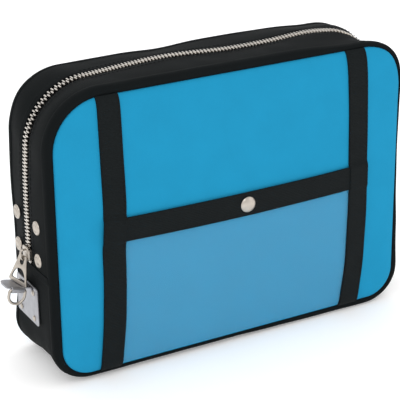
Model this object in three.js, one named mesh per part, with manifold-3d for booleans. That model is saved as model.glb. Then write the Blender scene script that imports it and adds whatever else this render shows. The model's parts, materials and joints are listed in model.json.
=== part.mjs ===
// Padded cash deposit bag: two blue padded faces, a black zipped gusset, a lock plate and a slip pocket.
// Millimetres, +Z up. The bag stands on z = 0, its pocket faces -Y and the zip locks on the -X side.
import * as THREE from 'three';
import { mergeVertices } from 'three/addons/utils/BufferGeometryUtils.js';
import Module from 'manifold-3d';

const wasm = await Module();
wasm.setup();

// ---- driving dimensions -------------------------------------------------------------------------
const GAP = 0.3;                 // clearance between neighbouring pieces
const FACE_HALF_WIDTH = 165;     // padded blue face, half of 330
const FACE_HEIGHT = 240;
const GUSSET_BULGE = 7.5;        // how far the gusset stands out past the faces' outline
const FACE_TOP_RADIUS = 43;
const FACE_BOTTOM_RADIUS = 26;
const SEAM_DEPTH = 42.5;         // from the middle of the bag to each outer seam
const CROWN = 6;                 // how far the padding swells out of the seam plane
const CROWN_WIDTH = 22;          // the swell reaches its full height this far from the edge
const FABRIC = 2.2;              // doubled border fabric
const PAD_BASE = 4;
const FOAM = 4;
const LINING = 1;
const GUSSET_WALL = 2.5;
const GUSSET_TOP_EDGE = 99.7;    // the lower gusset ends here and the zip strips begin
const FOLD_HEIGHT = 148;         // the front face folds open along this line
const FOLD_GAP = 0.4;

const STRAP_CENTRE = 119;
const STRAP_WIDTH = 20;
const WEBBING = 1.6;

const BAND_BOTTOM = 124;
const BAND_TOP = 144.5;
const WINDOW_THICKNESS = 0.5;
const POCKET_BOTTOM = 10;
const SNAP_X = 3.5;
const SNAP_HEIGHT = 134;
const SNAP_CAP_RADIUS = 7;

const STRIP_EDGE = 6.8;          // the strips' free edges, from the zip's centre line
const TAPE_EDGE = 0.6;
const TAPE_OUTER = 14;
const TAPE_THICKNESS = 0.7;
const TEETH_OUTER = 5;
const TEETH_START = 103.6;
const TEETH_CREST = 9;           // offset of the teeth's crest from the faces' outline

const SLIDER_BOTTOM = 101.5;
const SLIDER_LENGTH = 13;
const SLIDER_HALF_WIDTH = 6.3;
const BRIDGE_HALF_WIDTH = 1.5;
const TAB_PIVOT = new THREE.Vector3(-177.7, 0, 105.6);
const TAB_LENGTH = 23.4;         // pivot to lower edge
const TAB_TOP = 1.3;             // pivot to upper edge, short enough to turn inside the bridge
const TAB_THICKNESS = 1.4;
const TAB_LEAN = THREE.MathUtils.degToRad(20);

const PLATE_CENTRE_Y = 5;
const PLATE_WIDTH = 43;
const PLATE_BOTTOM = 46.5;
const PLATE_TOP = 80.5;
const PLATE_THICKNESS = 1.5;
const TONGUE_TILT = THREE.MathUtils.degToRad(12);
const TONGUE_LENGTH = 22.5;
const TONGUE_FRONT = -8.2;
const TONGUE_REAR = 10;
const BARREL_RADIUS = 2.6;
const BARREL_BORE = 1.6;
const BARREL_START = 9;
const BARREL_END = 20;
const RING_WIRE = 1.25;
const RING_START = 7.4;
const RING_END = 21.6;
const RING_DROP = 12.3;

const ZIP_RIVET_HEIGHTS = [108.5, 137.5];
const ZIP_RIVET_Y = 20;
const ZIP_RIVET_RADIUS = 6.8;

const FACE_BOTTOM = GUSSET_BULGE;
const FACE_TOP = FACE_BOTTOM + FACE_HEIGHT;
const SIDE_X = FACE_HALF_WIDTH + GUSSET_BULGE;
const BORDER_INNER_Y = SEAM_DEPTH - FABRIC;
const GUSSET_EDGE_Y = BORDER_INNER_Y - GAP;
const PAD_TOP_Y = BORDER_INNER_Y + PAD_BASE + CROWN;
const STRAP_INNER_X = STRAP_CENTRE - STRAP_WIDTH / 2;
const BIG = 600;

// ---- finishes -----------------------------------------------------------------------------------
const finish = (color, roughness, metalness = 0) =>
  new THREE.MeshStandardMaterial({ color, roughness, metalness });

const BLUE = finish(0x2a98c8, 0.85);
const BLACK = finish(0x24282a, 0.9);
const FOAM_GREY = finish(0x8c8f92, 0.95);
const NICKEL = finish(0xc8c0b6, 0.3, 0.9);
const PLATE_GREY = finish(0xb6b6ba, 0.4, 0.8);
const VINYL = finish(0x5098c2, 0.2);

// ---- geometry helpers ---------------------------------------------------------------------------
/** Turns a closed geometry into a manifold solid. */
function solid(geometry) {
  const bare = geometry.clone();
  bare.deleteAttribute('normal');
  bare.deleteAttribute('uv');
  const merged = mergeVertices(bare, 1e-4);
  const vertProperties = new Float32Array(merged.attributes.position.array);
  const triVerts = new Uint32Array(merged.index.array);
  return new wasm.Manifold(new wasm.Mesh({ numProp: 3, vertProperties, triVerts }));
}

/** Turns a manifold solid back into a geometry. */
function geometryOf(body) {
  const mesh = body.getMesh();
  const geometry = new THREE.BufferGeometry();
  geometry.setAttribute('position', new THREE.BufferAttribute(mesh.vertProperties, 3));
  geometry.setIndex(new THREE.BufferAttribute(mesh.triVerts, 1));
  return geometry;
}

/** A box between two corners. */
function block(low, high) {
  const size = high.map((value, i) => value - low[i]);
  const centre = high.map((value, i) => (value + low[i]) / 2);
  return new THREE.BoxGeometry(...size).translate(...centre);
}

/** The part of a geometry between two heights. */
function between(geometry, bottom, top) {
  return geometryOf(solid(geometry).intersect(solid(block([-BIG, -BIG, bottom], [BIG, BIG, top]))));
}

/** Extrudes an outline drawn in x and z, filling the space between two y planes. */
function alongY(shape, yLow, yHigh, curveSegments = 8) {
  const geometry = new THREE.ExtrudeGeometry(shape, { depth: yHigh - yLow, bevelEnabled: false, curveSegments });
  return geometry.rotateX(Math.PI / 2).translate(0, yHigh, 0);
}

/** Extrudes an outline drawn in y and z, filling the space between two x planes. */
function alongX(shape, xLow, xHigh, curveSegments = 4) {
  const geometry = new THREE.ExtrudeGeometry(shape, { depth: xHigh - xLow, bevelEnabled: false, curveSegments });
  return geometry.rotateZ(Math.PI / 2).rotateY(Math.PI / 2).translate(xLow, 0, 0);
}

/** Mirrors a geometry to the other side of y = 0 and keeps its faces pointing out. */
function mirrorY(geometry) {
  return geometryOf(solid(geometry).mirror([0, 1, 0]));
}

/** The faces' outline grown by an offset, as a closed rounded rectangle. */
function faceOutline(offset, Kind = THREE.Shape) {
  const half = FACE_HALF_WIDTH + offset;
  const low = FACE_BOTTOM - offset;
  const high = FACE_TOP + offset;
  const rLow = FACE_BOTTOM_RADIUS + offset;
  const rHigh = FACE_TOP_RADIUS + offset;
  const outline = new Kind();
  outline.moveTo(-half + rLow, low);
  outline.absarc(half - rLow, low + rLow, rLow, -Math.PI / 2, 0);
  outline.absarc(half - rHigh, high - rHigh, rHigh, 0, Math.PI / 2);
  outline.absarc(-half + rHigh, high - rHigh, rHigh, Math.PI / 2, Math.PI);
  outline.absarc(-half + rLow, low + rLow, rLow, Math.PI, Math.PI * 1.5);
  return outline;
}

/** A wall that follows the faces' outline between two offsets. */
function wallShape(inner, outer) {
  const shape = faceOutline(outer);
  shape.holes.push(faceOutline(inner, THREE.Path));
  return shape;
}

/** A rounded rectangle about a centre. */
function plateShape(centreX, centreY, width, height, radius) {
  const left = centreX - width / 2;
  const right = centreX + width / 2;
  const low = centreY - height / 2;
  const high = centreY + height / 2;
  const shape = new THREE.Shape();
  shape.moveTo(left + radius, low);
  shape.absarc(right - radius, low + radius, radius, -Math.PI / 2, 0);
  shape.absarc(right - radius, high - radius, radius, 0, Math.PI / 2);
  shape.absarc(left + radius, high - radius, radius, Math.PI / 2, Math.PI);
  shape.absarc(left + radius, low + radius, radius, Math.PI, Math.PI * 1.5);
  return shape;
}

/** A turned part about the Y axis: pairs of radius and y, closed on the axis. */
function turnedY(profile, segments = 20) {
  const points = profile.map(([radius, y]) => new THREE.Vector2(radius, y));
  return new THREE.LatheGeometry(points, segments);
}

/** A turned part about the X axis whose profile runs along +X. */
function turnedX(profile, segments = 20) {
  return turnedY(profile, segments).rotateZ(-Math.PI / 2);
}

/** A round bar along X through a point. */
function barX(radius, xLow, xHigh, y, z, segments = 12) {
  const bar = new THREE.CylinderGeometry(radius, radius, xHigh - xLow, segments);
  return bar.rotateZ(Math.PI / 2).translate((xLow + xHigh) / 2, y, z);
}

/** A named mesh added to the model. */
const bag = new THREE.Group();
function add(name, geometry, material, parent = bag) {
  const mesh = new THREE.Mesh(geometry, material);
  mesh.name = name;
  parent.add(mesh);
  return mesh;
}

// ---- padded faces -------------------------------------------------------------------------------
/** The swelling face: a flat base with a crowned front, outward side towards -Y. */
function paddedFace() {
  const shape = faceOutline(-CROWN_WIDTH - GAP);
  const crowned = new THREE.ExtrudeGeometry(shape, {
    depth: PAD_BASE, bevelThickness: CROWN, bevelSize: CROWN_WIDTH, bevelSegments: 3, curveSegments: 8,
  });
  const upright = crowned.rotateX(Math.PI / 2).translate(0, -BORDER_INNER_Y, 0);
  return geometryOf(solid(upright).intersect(solid(block([-BIG, -BIG, -BIG], [BIG, -BORDER_INNER_Y, BIG]))));
}

/** The padding's surface height above its flat back, at steps in from the face's edge. */
function crownSteps() {
  return [3, 2, 1, 0].map((step) => {
    const angle = (step / 3) * (Math.PI / 2);
    return { inset: CROWN_WIDTH * (1 - Math.sin(angle)) + GAP, rise: PAD_BASE + CROWN * Math.cos(angle) };
  });
}

/** A strip lying on the padding: drawn in y and z, from low to high, at a height above it. */
function layerOnPad(low, high, above, thickness, followsTop = true) {
  const steps = crownSteps();
  const lower = steps.map(({ inset, rise }) => [FACE_BOTTOM + inset, rise]).filter(([z]) => z > low);
  const upper = steps.map(({ inset, rise }) => [FACE_TOP - inset, rise]).filter(([z]) => z < high).reverse();
  const path = [[low, lower[0][1]], ...lower];
  if (followsTop) path.push(...upper, [high, upper[upper.length - 1][1]]);
  else path.push([high, PAD_BASE + CROWN]);
  const face = (extra) => path.map(([z, rise]) => [-(BORDER_INNER_Y + rise + extra), z]);
  const points = [...face(above), ...face(above + thickness).reverse()];
  return new THREE.Shape(points.map(([y, z]) => new THREE.Vector2(y, z)));
}

function addFaces() {
  const snapRecess = turnedY([[0, -PAD_TOP_Y - 5], [6.2, -PAD_TOP_Y - 5], [6.2, -PAD_TOP_Y + 4],
    [0, -PAD_TOP_Y + 4]]).translate(SNAP_X, 0, SNAP_HEIGHT);
  const face = paddedFace();
  const front = geometryOf(solid(face).subtract(solid(snapRecess)));
  const foam = alongY(faceOutline(-3), -BORDER_INNER_Y + GAP, -BORDER_INNER_Y + GAP + FOAM);
  const liningFront = -BORDER_INNER_Y + 2 * GAP + FOAM;
  const lining = alongY(faceOutline(-1), liningFront, liningFront + LINING);
  const border = alongY(wallShape(0, GUSSET_BULGE), -SEAM_DEPTH, -BORDER_INNER_Y);
  const layers = [
    ['panel', front, face, BLUE],
    ['foam', foam, foam, FOAM_GREY],
    ['lining', lining, lining, BLACK],
    ['border', border, border, BLACK],
  ];
  for (const [layer, frontGeometry, rearGeometry, material] of layers) {
    add(`front_${layer}_lower`, between(frontGeometry, -BIG, FOLD_HEIGHT - FOLD_GAP / 2), material);
    add(`front_${layer}_upper`, between(frontGeometry, FOLD_HEIGHT + FOLD_GAP / 2, BIG), material);
    add(`rear_${layer}`, mirrorY(rearGeometry), material);
  }
}

function addStraps() {
  const section = layerOnPad(FACE_BOTTOM + GAP, FACE_TOP - GAP, GAP, WEBBING);
  for (const [side, centre] of [['left', -STRAP_CENTRE], ['right', STRAP_CENTRE]]) {
    const strap = alongX(section, centre - STRAP_WIDTH / 2, centre + STRAP_WIDTH / 2);
    add(`strap_${side}_lower`, between(strap, -BIG, FOLD_HEIGHT - FOLD_GAP / 2), BLACK);
    add(`strap_${side}_upper`, between(strap, FOLD_HEIGHT + FOLD_GAP / 2, BIG), BLACK);
  }
}

// ---- slip pocket with its snap ------------------------------------------------------------------
function addPocket() {
  const half = STRAP_INNER_X - 0.4;
  const shank = barX(2.4, -40, 40, 0, 0).rotateZ(Math.PI / 2).translate(SNAP_X, -PAD_TOP_Y, SNAP_HEIGHT);
  const drilled = (geometry) => geometryOf(solid(geometry).subtract(solid(shank)));
  const windowSection = layerOnPad(POCKET_BOTTOM, BAND_TOP, GAP, WINDOW_THICKNESS, false);
  add('pocket_window', drilled(alongX(windowSection, -half, half)), VINYL);
  const bandBack = PAD_TOP_Y + 2 * GAP + WINDOW_THICKNESS;
  const band = block([-half, -bandBack - 1.5, BAND_BOTTOM], [half, -bandBack, BAND_TOP]);
  add('pocket_band', drilled(band), BLACK);

  const capBack = bandBack + 1.5 + GAP;
  const cap = turnedY([[0, -capBack - 2.2], [3, -capBack - 2], [5.6, -capBack - 1.3], [SNAP_CAP_RADIUS, -capBack - 0.4],
    [SNAP_CAP_RADIUS, -capBack], [2, -capBack], [2, -PAD_TOP_Y + 0.2], [0, -PAD_TOP_Y + 0.2]]);
  add('snap_cap', cap.translate(SNAP_X, 0, SNAP_HEIGHT), NICKEL);
  const socketFront = -PAD_TOP_Y + 0.5;
  const socket = turnedY([[2.1, socketFront], [5.4, socketFront], [5.4, socketFront + 1.8], [2.1, socketFront + 1.8],
    [2.1, socketFront]]);
  add('snap_socket', socket.translate(SNAP_X, 0, SNAP_HEIGHT), NICKEL);
  const recessFloor = -PAD_TOP_Y + 4 - GAP;
  const stud = turnedY([[0, recessFloor - 2.9], [1.5, recessFloor - 2.9], [1.8, recessFloor - 2.3],
    [1.5, recessFloor - 1], [5.2, recessFloor - 1], [5.2, recessFloor], [0, recessFloor]]);
  add('snap_stud', stud.translate(SNAP_X, 0, SNAP_HEIGHT), NICKEL);
}

// ---- gusset and zip -----------------------------------------------------------------------------
/** Holes through the -X side of a wall, for shanks along X. */
function drillSide(geometry, radius, places) {
  const drilled = places.reduce(
    (body, [y, z]) => body.subtract(solid(barX(radius, -SIDE_X - 10, -SIDE_X + 15, y, z))), solid(geometry));
  return geometryOf(drilled);
}

const plateRivets = [-1, 1].flatMap((side) => [PLATE_BOTTOM + 5, PLATE_TOP - 5.5].map(
  (z) => [PLATE_CENTRE_Y + side * (PLATE_WIDTH / 2 - 8), z]));
const zipRivets = [-ZIP_RIVET_Y, ZIP_RIVET_Y].flatMap((y) => ZIP_RIVET_HEIGHTS.map((z) => [y, z]));

/** Adds the parts of an arch that lie on the two sides of the front face's fold. */
function addFoldedArch(name, geometry, material) {
  const lower = between(geometry, -BIG, FOLD_HEIGHT - FOLD_GAP / 2);
  const half = (low, high) => solid(lower).intersect(solid(block([low, -BIG, -BIG], [high, BIG, BIG])));
  add(`${name}_left_lower`, geometryOf(half(-BIG, 0)), material);
  add(`${name}_right_lower`, geometryOf(half(0, BIG)), material);
  add(`${name}_upper`, between(geometry, FOLD_HEIGHT + FOLD_GAP / 2, BIG), material);
}

function addGusset() {
  const wall = wallShape(GUSSET_BULGE - GUSSET_WALL, GUSSET_BULGE);
  const lower = between(alongY(wall, -GUSSET_EDGE_Y, GUSSET_EDGE_Y), -BIG, GUSSET_TOP_EDGE);
  add('lower_gusset', drillSide(lower, 1.6, plateRivets), BLACK);
  const strip = drillSide(alongY(wall, -GUSSET_EDGE_Y, -STRIP_EDGE), 2.3, zipRivets.filter(([y]) => y < 0));
  const front = between(strip, GUSSET_TOP_EDGE + GAP, BIG);
  addFoldedArch('front_zip_strip', front, BLACK);
  add('rear_zip_strip', mirrorY(front), BLACK);
}

function addZip() {
  const tapeOuter = GUSSET_BULGE - GUSSET_WALL - GAP;
  const tape = alongY(wallShape(tapeOuter - TAPE_THICKNESS, tapeOuter), -TAPE_OUTER, -TAPE_EDGE);
  const frontTape = between(tape, GUSSET_TOP_EDGE + GAP, BIG);
  addFoldedArch('front_zip_tape', frontTape, BLACK);
  add('rear_zip_tape', mirrorY(frontTape), BLACK);
  const teeth = alongY(wallShape(tapeOuter + GAP, TEETH_CREST), -TEETH_OUTER, -TAPE_EDGE);
  const frontTeeth = between(teeth, TEETH_START, BIG);
  addFoldedArch('front_zip_teeth', frontTeeth, NICKEL);
  add('rear_zip_teeth', mirrorY(frontTeeth), NICKEL);

  const inner = FACE_HALF_WIDTH + tapeOuter + GAP;
  const outer = FACE_HALF_WIDTH + TEETH_CREST - 0.4;
  const low = GUSSET_TOP_EDGE + GAP;
  const high = TEETH_START - GAP;
  add('zip_stop_left_front', block([-outer, -TEETH_OUTER, low], [-inner, -TAPE_EDGE, high]), NICKEL);
  add('zip_stop_left_rear', block([-outer, TAPE_EDGE, low], [-inner, TEETH_OUTER, high]), NICKEL);
  add('zip_stop_right', block([inner, -TEETH_OUTER, low], [outer, TEETH_OUTER, high]), NICKEL);
}

function addZipRivets() {
  const skin = SIDE_X + GAP;
  const inside = SIDE_X - GUSSET_WALL - GAP;
  const profile = [[0, -skin - 1.5], [4.5, -skin - 1.4], [6.2, -skin - 1], [ZIP_RIVET_RADIUS, -skin - 0.3],
    [ZIP_RIVET_RADIUS, -skin], [2, -skin], [2, -inside], [5.5, -inside], [5.5, -inside + 0.8], [0, -inside + 0.8]];
  zipRivets.forEach(([y, z], i) => add(`zip_rivet_${i + 1}`, turnedX(profile).translate(0, y, z), NICKEL));
}

// ---- slider and pull tab ------------------------------------------------------------------------
function addSlider() {
  const crest = FACE_HALF_WIDTH + TEETH_CREST;
  const plateBack = crest + GAP;
  const plateFront = plateBack + 1.5;
  const middle = SLIDER_BOTTOM + SLIDER_LENGTH / 2;
  const high = SLIDER_BOTTOM + SLIDER_LENGTH;
  const shape = plateShape(0, middle, SLIDER_HALF_WIDTH * 2, SLIDER_LENGTH, 3);
  const tapeInner = FACE_HALF_WIDTH + GUSSET_BULGE - GUSSET_WALL - GAP - TAPE_THICKNESS;
  const backFront = tapeInner - GAP;
  const flangeLow = FACE_HALF_WIDTH + GUSSET_BULGE - GUSSET_WALL + 0.3;
  const flange = block([-plateBack - 0.5, TEETH_OUTER + GAP, SLIDER_BOTTOM + 1.5],
    [-flangeLow, SLIDER_HALF_WIDTH, high - 1.5]);
  const fin = block([-plateBack - 0.5, -0.3, SLIDER_BOTTOM], [-backFront + 0.5, 0.3, SLIDER_BOTTOM + 4]);
  const body = solid(alongX(shape, -plateFront, -plateBack))
    .add(solid(alongX(shape, -backFront, -backFront + 1.5)))
    .add(solid(flange)).add(solid(mirrorY(flange))).add(solid(fin));
  add('slider_body', geometryOf(body), NICKEL);

  const foot = plateFront + GAP;
  const low = SLIDER_BOTTOM + 0.8;
  const arch = new THREE.Shape();
  arch.moveTo(-foot, low);
  arch.lineTo(-foot, low + 1.5);
  arch.lineTo(-foot - 3.2, low + 1.5);
  arch.lineTo(-foot - 3.2, low + 8.5);
  arch.lineTo(-foot, low + 8.5);
  arch.lineTo(-foot, low + 10);
  arch.lineTo(-foot - 3.4, low + 10);
  arch.lineTo(-foot - 4.7, low + 8.5);
  arch.lineTo(-foot - 4.7, low + 1.2);
  arch.lineTo(-foot - 3.6, low);
  add('slider_bridge', alongY(arch, -BRIDGE_HALF_WIDTH, BRIDGE_HALF_WIDTH), NICKEL);
}

/** The pull tab's flat outline, with y across and the second coordinate up from the pivot. */
function tabShape() {
  const topHalf = 4.8;
  const footHalf = 13.5;
  const corner = 2.5;
  const shape = new THREE.Shape();
  shape.moveTo(-footHalf + corner, -TAB_LENGTH);
  shape.lineTo(footHalf - corner, -TAB_LENGTH);
  shape.absarc(footHalf - corner, -TAB_LENGTH + corner, corner, -Math.PI / 2, 0.3);
  shape.lineTo(topHalf + 0.4, -5);
  shape.absarc(topHalf - 2, TAB_TOP - 2, 2, 0, Math.PI / 2);
  shape.absarc(-topHalf + 2, TAB_TOP - 2, 2, Math.PI / 2, Math.PI);
  shape.lineTo(-topHalf - 0.4, -5);
  shape.absarc(-footHalf + corner, -TAB_LENGTH + corner, corner, Math.PI - 0.3, Math.PI * 1.5);

  const eye = new THREE.Path();
  eye.moveTo(-2.6, -1);
  eye.lineTo(2.6, -1);
  eye.lineTo(2.6, -4.4);
  eye.absarc(0, -4.4, 2.6, 0, -Math.PI, true);
  const opening = new THREE.Path();
  opening.moveTo(-8.6, -20.2);
  opening.lineTo(8.6, -20.2);
  opening.lineTo(8.2, -17.6);
  opening.absarc(0, -16, 5.4, 0.15, Math.PI - 0.15);
  opening.lineTo(-8.2, -17.6);
  shape.holes.push(eye, opening);
  return shape;
}

function addPullTab() {
  const tab = alongX(tabShape(), -TAB_THICKNESS / 2, TAB_THICKNESS / 2, 6);
  const mesh = add('pull_tab', tab, NICKEL);
  mesh.position.copy(TAB_PIVOT);
  mesh.rotation.y = TAB_LEAN;
}

// ---- lock plate and ring ------------------------------------------------------------------------
function addLock() {
  const back = SIDE_X + GAP;
  const front = back + PLATE_THICKNESS;
  const plate = alongX(plateShape(PLATE_CENTRE_Y, (PLATE_BOTTOM + PLATE_TOP) / 2, PLATE_WIDTH,
    PLATE_TOP - PLATE_BOTTOM, 3), -front, -back);

  // The tongue is drawn level, running out along -X from the plate's top edge, then tilted up.
  const tongueShape = new THREE.Shape();
  tongueShape.moveTo(0, -TONGUE_FRONT);
  tongueShape.lineTo(0, -TONGUE_REAR);
  tongueShape.absarc(-TONGUE_LENGTH + 6, -TONGUE_REAR + 6, 6, -Math.PI / 2, -Math.PI, true);
  tongueShape.absarc(-TONGUE_LENGTH + 2, -TONGUE_FRONT - 2, 2, Math.PI, Math.PI / 2, true);
  const sheet = new THREE.ExtrudeGeometry(tongueShape, { depth: PLATE_THICKNESS, bevelEnabled: false, curveSegments: 5 });
  sheet.rotateX(Math.PI);
  const barrel = barX(BARREL_RADIUS, -BARREL_END, -BARREL_START, TONGUE_FRONT, -BARREL_RADIUS, 16);
  const bore = barX(BARREL_BORE, -BARREL_END - 1, -BARREL_START + 1, TONGUE_FRONT, -BARREL_RADIUS, 12);
  const tongue = solid(sheet).add(solid(barrel)).subtract(solid(bore));
  const root = new THREE.Matrix4().makeRotationY(TONGUE_TILT).setPosition(-back - 0.1, 0, PLATE_TOP);
  const tilted = geometryOf(tongue).applyMatrix4(root);
  const trimmed = solid(tilted).intersect(solid(block([-BIG, -BIG, -BIG], [-back, BIG, BIG])));
  const joined = geometryOf(solid(plate).add(trimmed));
  add('lock_plate', drillSide(joined, 1.5, plateRivets), PLATE_GREY);

  const backing = SIDE_X - GUSSET_WALL - GAP;
  const inner = alongX(plateShape(PLATE_CENTRE_Y, (PLATE_BOTTOM + PLATE_TOP) / 2, PLATE_WIDTH - 4,
    PLATE_TOP - PLATE_BOTTOM - 4, 3), -backing, -backing + 1.2);
  add('lock_backing_plate', drillSide(inner, 1.5, plateRivets), PLATE_GREY);
  const head = front + GAP;
  const tail = backing - 1.2 - GAP;
  const rivet = [[0, -head - 1], [1.6, -head - 0.8], [2.5, -head], [1.2, -head], [1.2, -tail], [2.2, -tail],
    [2.2, -tail + 0.8], [0, -tail + 0.8]];
  plateRivets.forEach(([y, z], i) => add(`lock_rivet_${i + 1}`, turnedX(rivet, 14).translate(0, y, z), NICKEL));

  addRing(root);
}

/** The D-ring: bent wire whose ends butt inside the barrel, hanging from it. */
function addRing(root) {
  const middle = (RING_START + RING_END) / 2;
  const half = (RING_END - RING_START) / 2;
  const corner = 1.8;
  const outline = new THREE.CurvePath();
  const at = (x, z) => new THREE.Vector3(x, 0, z);
  const cornerArc = (cx, cz, from, to) => Array.from({ length: 4 }, (_, i) => {
    const angle = from + ((to - from) * i) / 3;
    return at(cx + corner * Math.cos(angle), cz + corner * Math.sin(angle));
  });
  const bow = Array.from({ length: 13 }, (_, i) => {
    const angle = -(Math.PI * i) / 12;
    return at(half * Math.cos(angle), -RING_DROP + half + half * Math.sin(angle));
  });
  const points = [at(0.25, 0), at(half - corner, 0), ...cornerArc(half - corner, -corner, Math.PI / 2, 0).slice(1),
    ...bow, ...cornerArc(-half + corner, -corner, Math.PI, Math.PI / 2).slice(0, 3), at(-half + corner, 0),
    at(-0.25, 0)];
  for (let i = 0; i + 1 < points.length; i += 1) outline.add(new THREE.LineCurve3(points[i], points[i + 1]));
  const section = new THREE.Shape();
  section.absarc(0, 0, RING_WIRE, 0, Math.PI * 2);
  const wirePath = new THREE.CatmullRomCurve3(points, false, 'centripetal');
  const wire = new THREE.ExtrudeGeometry(section, { steps: 72, extrudePath: wirePath, curveSegments: 5 });
  const mesh = add('lock_ring', wire.translate(-middle, TONGUE_FRONT, -BARREL_RADIUS), NICKEL);
  mesh.applyMatrix4(root);
}

addFaces();
addStraps();
addPocket();
addGusset();
addZip();
addZipRivets();
addSlider();
addPullTab();
addLock();

export default bag;
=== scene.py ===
"""Looks of the padded cash deposit bag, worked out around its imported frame.

Lengths are in metres in the frame's axes: +Z is up and -Y points out of the front face.
"""

import json
import logging
import math
from dataclasses import dataclass
from enum import Enum
from typing import Protocol

import bmesh
import bpy
import numpy as np
from mathutils import Matrix, Vector


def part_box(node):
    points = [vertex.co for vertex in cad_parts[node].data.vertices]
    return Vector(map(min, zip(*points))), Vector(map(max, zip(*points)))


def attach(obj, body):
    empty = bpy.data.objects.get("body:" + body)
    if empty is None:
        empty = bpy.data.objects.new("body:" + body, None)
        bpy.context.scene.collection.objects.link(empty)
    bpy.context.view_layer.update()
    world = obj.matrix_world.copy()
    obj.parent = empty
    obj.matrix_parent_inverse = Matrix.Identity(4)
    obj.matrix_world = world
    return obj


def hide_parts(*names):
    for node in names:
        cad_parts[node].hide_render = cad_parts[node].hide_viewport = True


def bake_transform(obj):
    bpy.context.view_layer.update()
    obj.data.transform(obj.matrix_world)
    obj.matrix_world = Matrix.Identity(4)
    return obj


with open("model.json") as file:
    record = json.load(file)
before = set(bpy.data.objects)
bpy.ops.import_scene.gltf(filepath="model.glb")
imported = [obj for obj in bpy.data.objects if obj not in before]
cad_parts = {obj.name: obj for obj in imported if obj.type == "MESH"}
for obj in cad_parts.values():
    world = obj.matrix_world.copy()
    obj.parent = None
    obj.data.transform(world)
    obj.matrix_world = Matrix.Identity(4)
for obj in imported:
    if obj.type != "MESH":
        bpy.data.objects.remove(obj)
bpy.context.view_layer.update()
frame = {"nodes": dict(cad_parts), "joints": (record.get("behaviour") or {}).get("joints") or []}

LOG = logging.getLogger("cash_bag")
MM = 0.001
WAVE_PERIOD = math.pi / 10
"""Length of one band of a Wave texture whose scale is 1."""
LEFT = Vector((-1.0, 0.0, 0.0))
UP = Vector((0.0, 0.0, 1.0))
ACROSS = Vector((0.0, 1.0, 0.0))
ARCH_PARTS = ("left_lower", "right_lower", "upper")
"""The parts that the frame's front zip pieces are cut into at the fold."""


class Face(Enum):
    """The two padded faces, by the way that each one looks along Y."""

    FRONT = -1.0
    REAR = 1.0


class Side(Enum):
    """The two sides of the bag, by their sign along X."""

    LEFT = -1.0
    RIGHT = 1.0


# ---- numbers and shapes -------------------------------------------------------------------------
def linear(red: float, green: float, blue: float) -> tuple[float, float, float, float]:
    """Turns display values from 0 to 255 into a linear colour.

    Args:
        red: Red display value.
        green: Green display value.
        blue: Blue display value.

    Returns:
        The linear red, green and blue, with an alpha of one.
    """
    values = np.array([red, green, blue]) / 255.0
    low = values / 12.92
    high = ((values + 0.055) / 1.055) ** 2.4
    return (*np.where(values <= 0.04045, low, high).tolist(), 1.0)


def smooth_step(values: np.ndarray, start: float, end: float) -> np.ndarray:
    """Rises from 0 at start to 1 at end along the cubic 3t^2 - 2t^3.

    Args:
        values: Where to evaluate it.
        start: Value at which the rise begins.
        end: Value at which it is complete.

    Returns:
        The step at each value.
    """
    t = np.clip((values - start) / (end - start), 0.0, 1.0)
    return t * t * (3.0 - 2.0 * t)


def bump_at(values: np.ndarray, centre: float, width: float) -> np.ndarray:
    """A bell exp(-((v - centre) / width)^2).

    Args:
        values: Where to evaluate it.
        centre: Where the bell is highest.
        width: Distance at which it has fallen to 1/e.

    Returns:
        The bell at each value.
    """
    return np.exp(-(((values - centre) / width) ** 2))


@dataclass(frozen=True)
class Ripples:
    """A smooth random field: a sum of sines over two directions, fixed by its seed."""

    seed: int
    shortest: float
    longest: float
    waves: int = 9

    def at(self, along: np.ndarray, across: np.ndarray) -> np.ndarray:
        """Adds up sin(2 pi (a along + b across) + phase) over the waves and scales the sum to about +-1.

        Args:
            along: First coordinate in metres.
            across: Second coordinate in metres.

        Returns:
            The field, with the inputs' common shape.
        """
        draw = np.random.default_rng(self.seed)
        lengths = draw.uniform(self.shortest, self.longest, self.waves)
        turns = draw.uniform(0.0, 2.0 * np.pi, self.waves)
        phases = draw.uniform(0.0, 2.0 * np.pi, self.waves)
        along, across = np.broadcast_arrays(along, across)
        ways = np.cos(turns) / lengths, np.sin(turns) / lengths
        total = sum(
            np.sin(2.0 * np.pi * (a * along + b * across) + p) for a, b, p in zip(*ways, phases)
        )
        return total / math.sqrt(self.waves)


@dataclass
class Patch:
    """Vertices, faces and texture places that make up all or some of a piece."""

    vertices: np.ndarray
    faces: list[np.ndarray]
    uvs: list[np.ndarray]

    def volume(self) -> float:
        """Signed volume inside the faces, from the sum of a . (b x c) over fans of triangles.

        Returns:
            The volume, which is above zero when the faces look outward.
        """
        total = 0.0
        for faces in self.faces:
            corners = self.vertices[faces]
            for k in range(1, faces.shape[1] - 1):
                a, b, c = corners[:, 0], corners[:, k], corners[:, k + 1]
                total += float(np.einsum("ij,ij->", a, np.cross(b, c))) / 6.0
        return total

    def turned_out(self) -> "Patch":
        """The same patch with its faces pointing out of the closed shape."""
        return self if self.volume() >= 0.0 else self.reversed()

    def reversed(self) -> "Patch":
        """The same patch with every face turned the other way."""
        return Patch(self.vertices, [f[:, ::-1] for f in self.faces], [u[:, ::-1] for u in self.uvs])

    def moved(self, matrix: Matrix) -> "Patch":
        """The same patch with its vertices carried by a 4 x 4 matrix."""
        m = np.array(matrix)
        return Patch(self.vertices @ m[:3, :3].T + m[:3, 3], self.faces, self.uvs)


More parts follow.
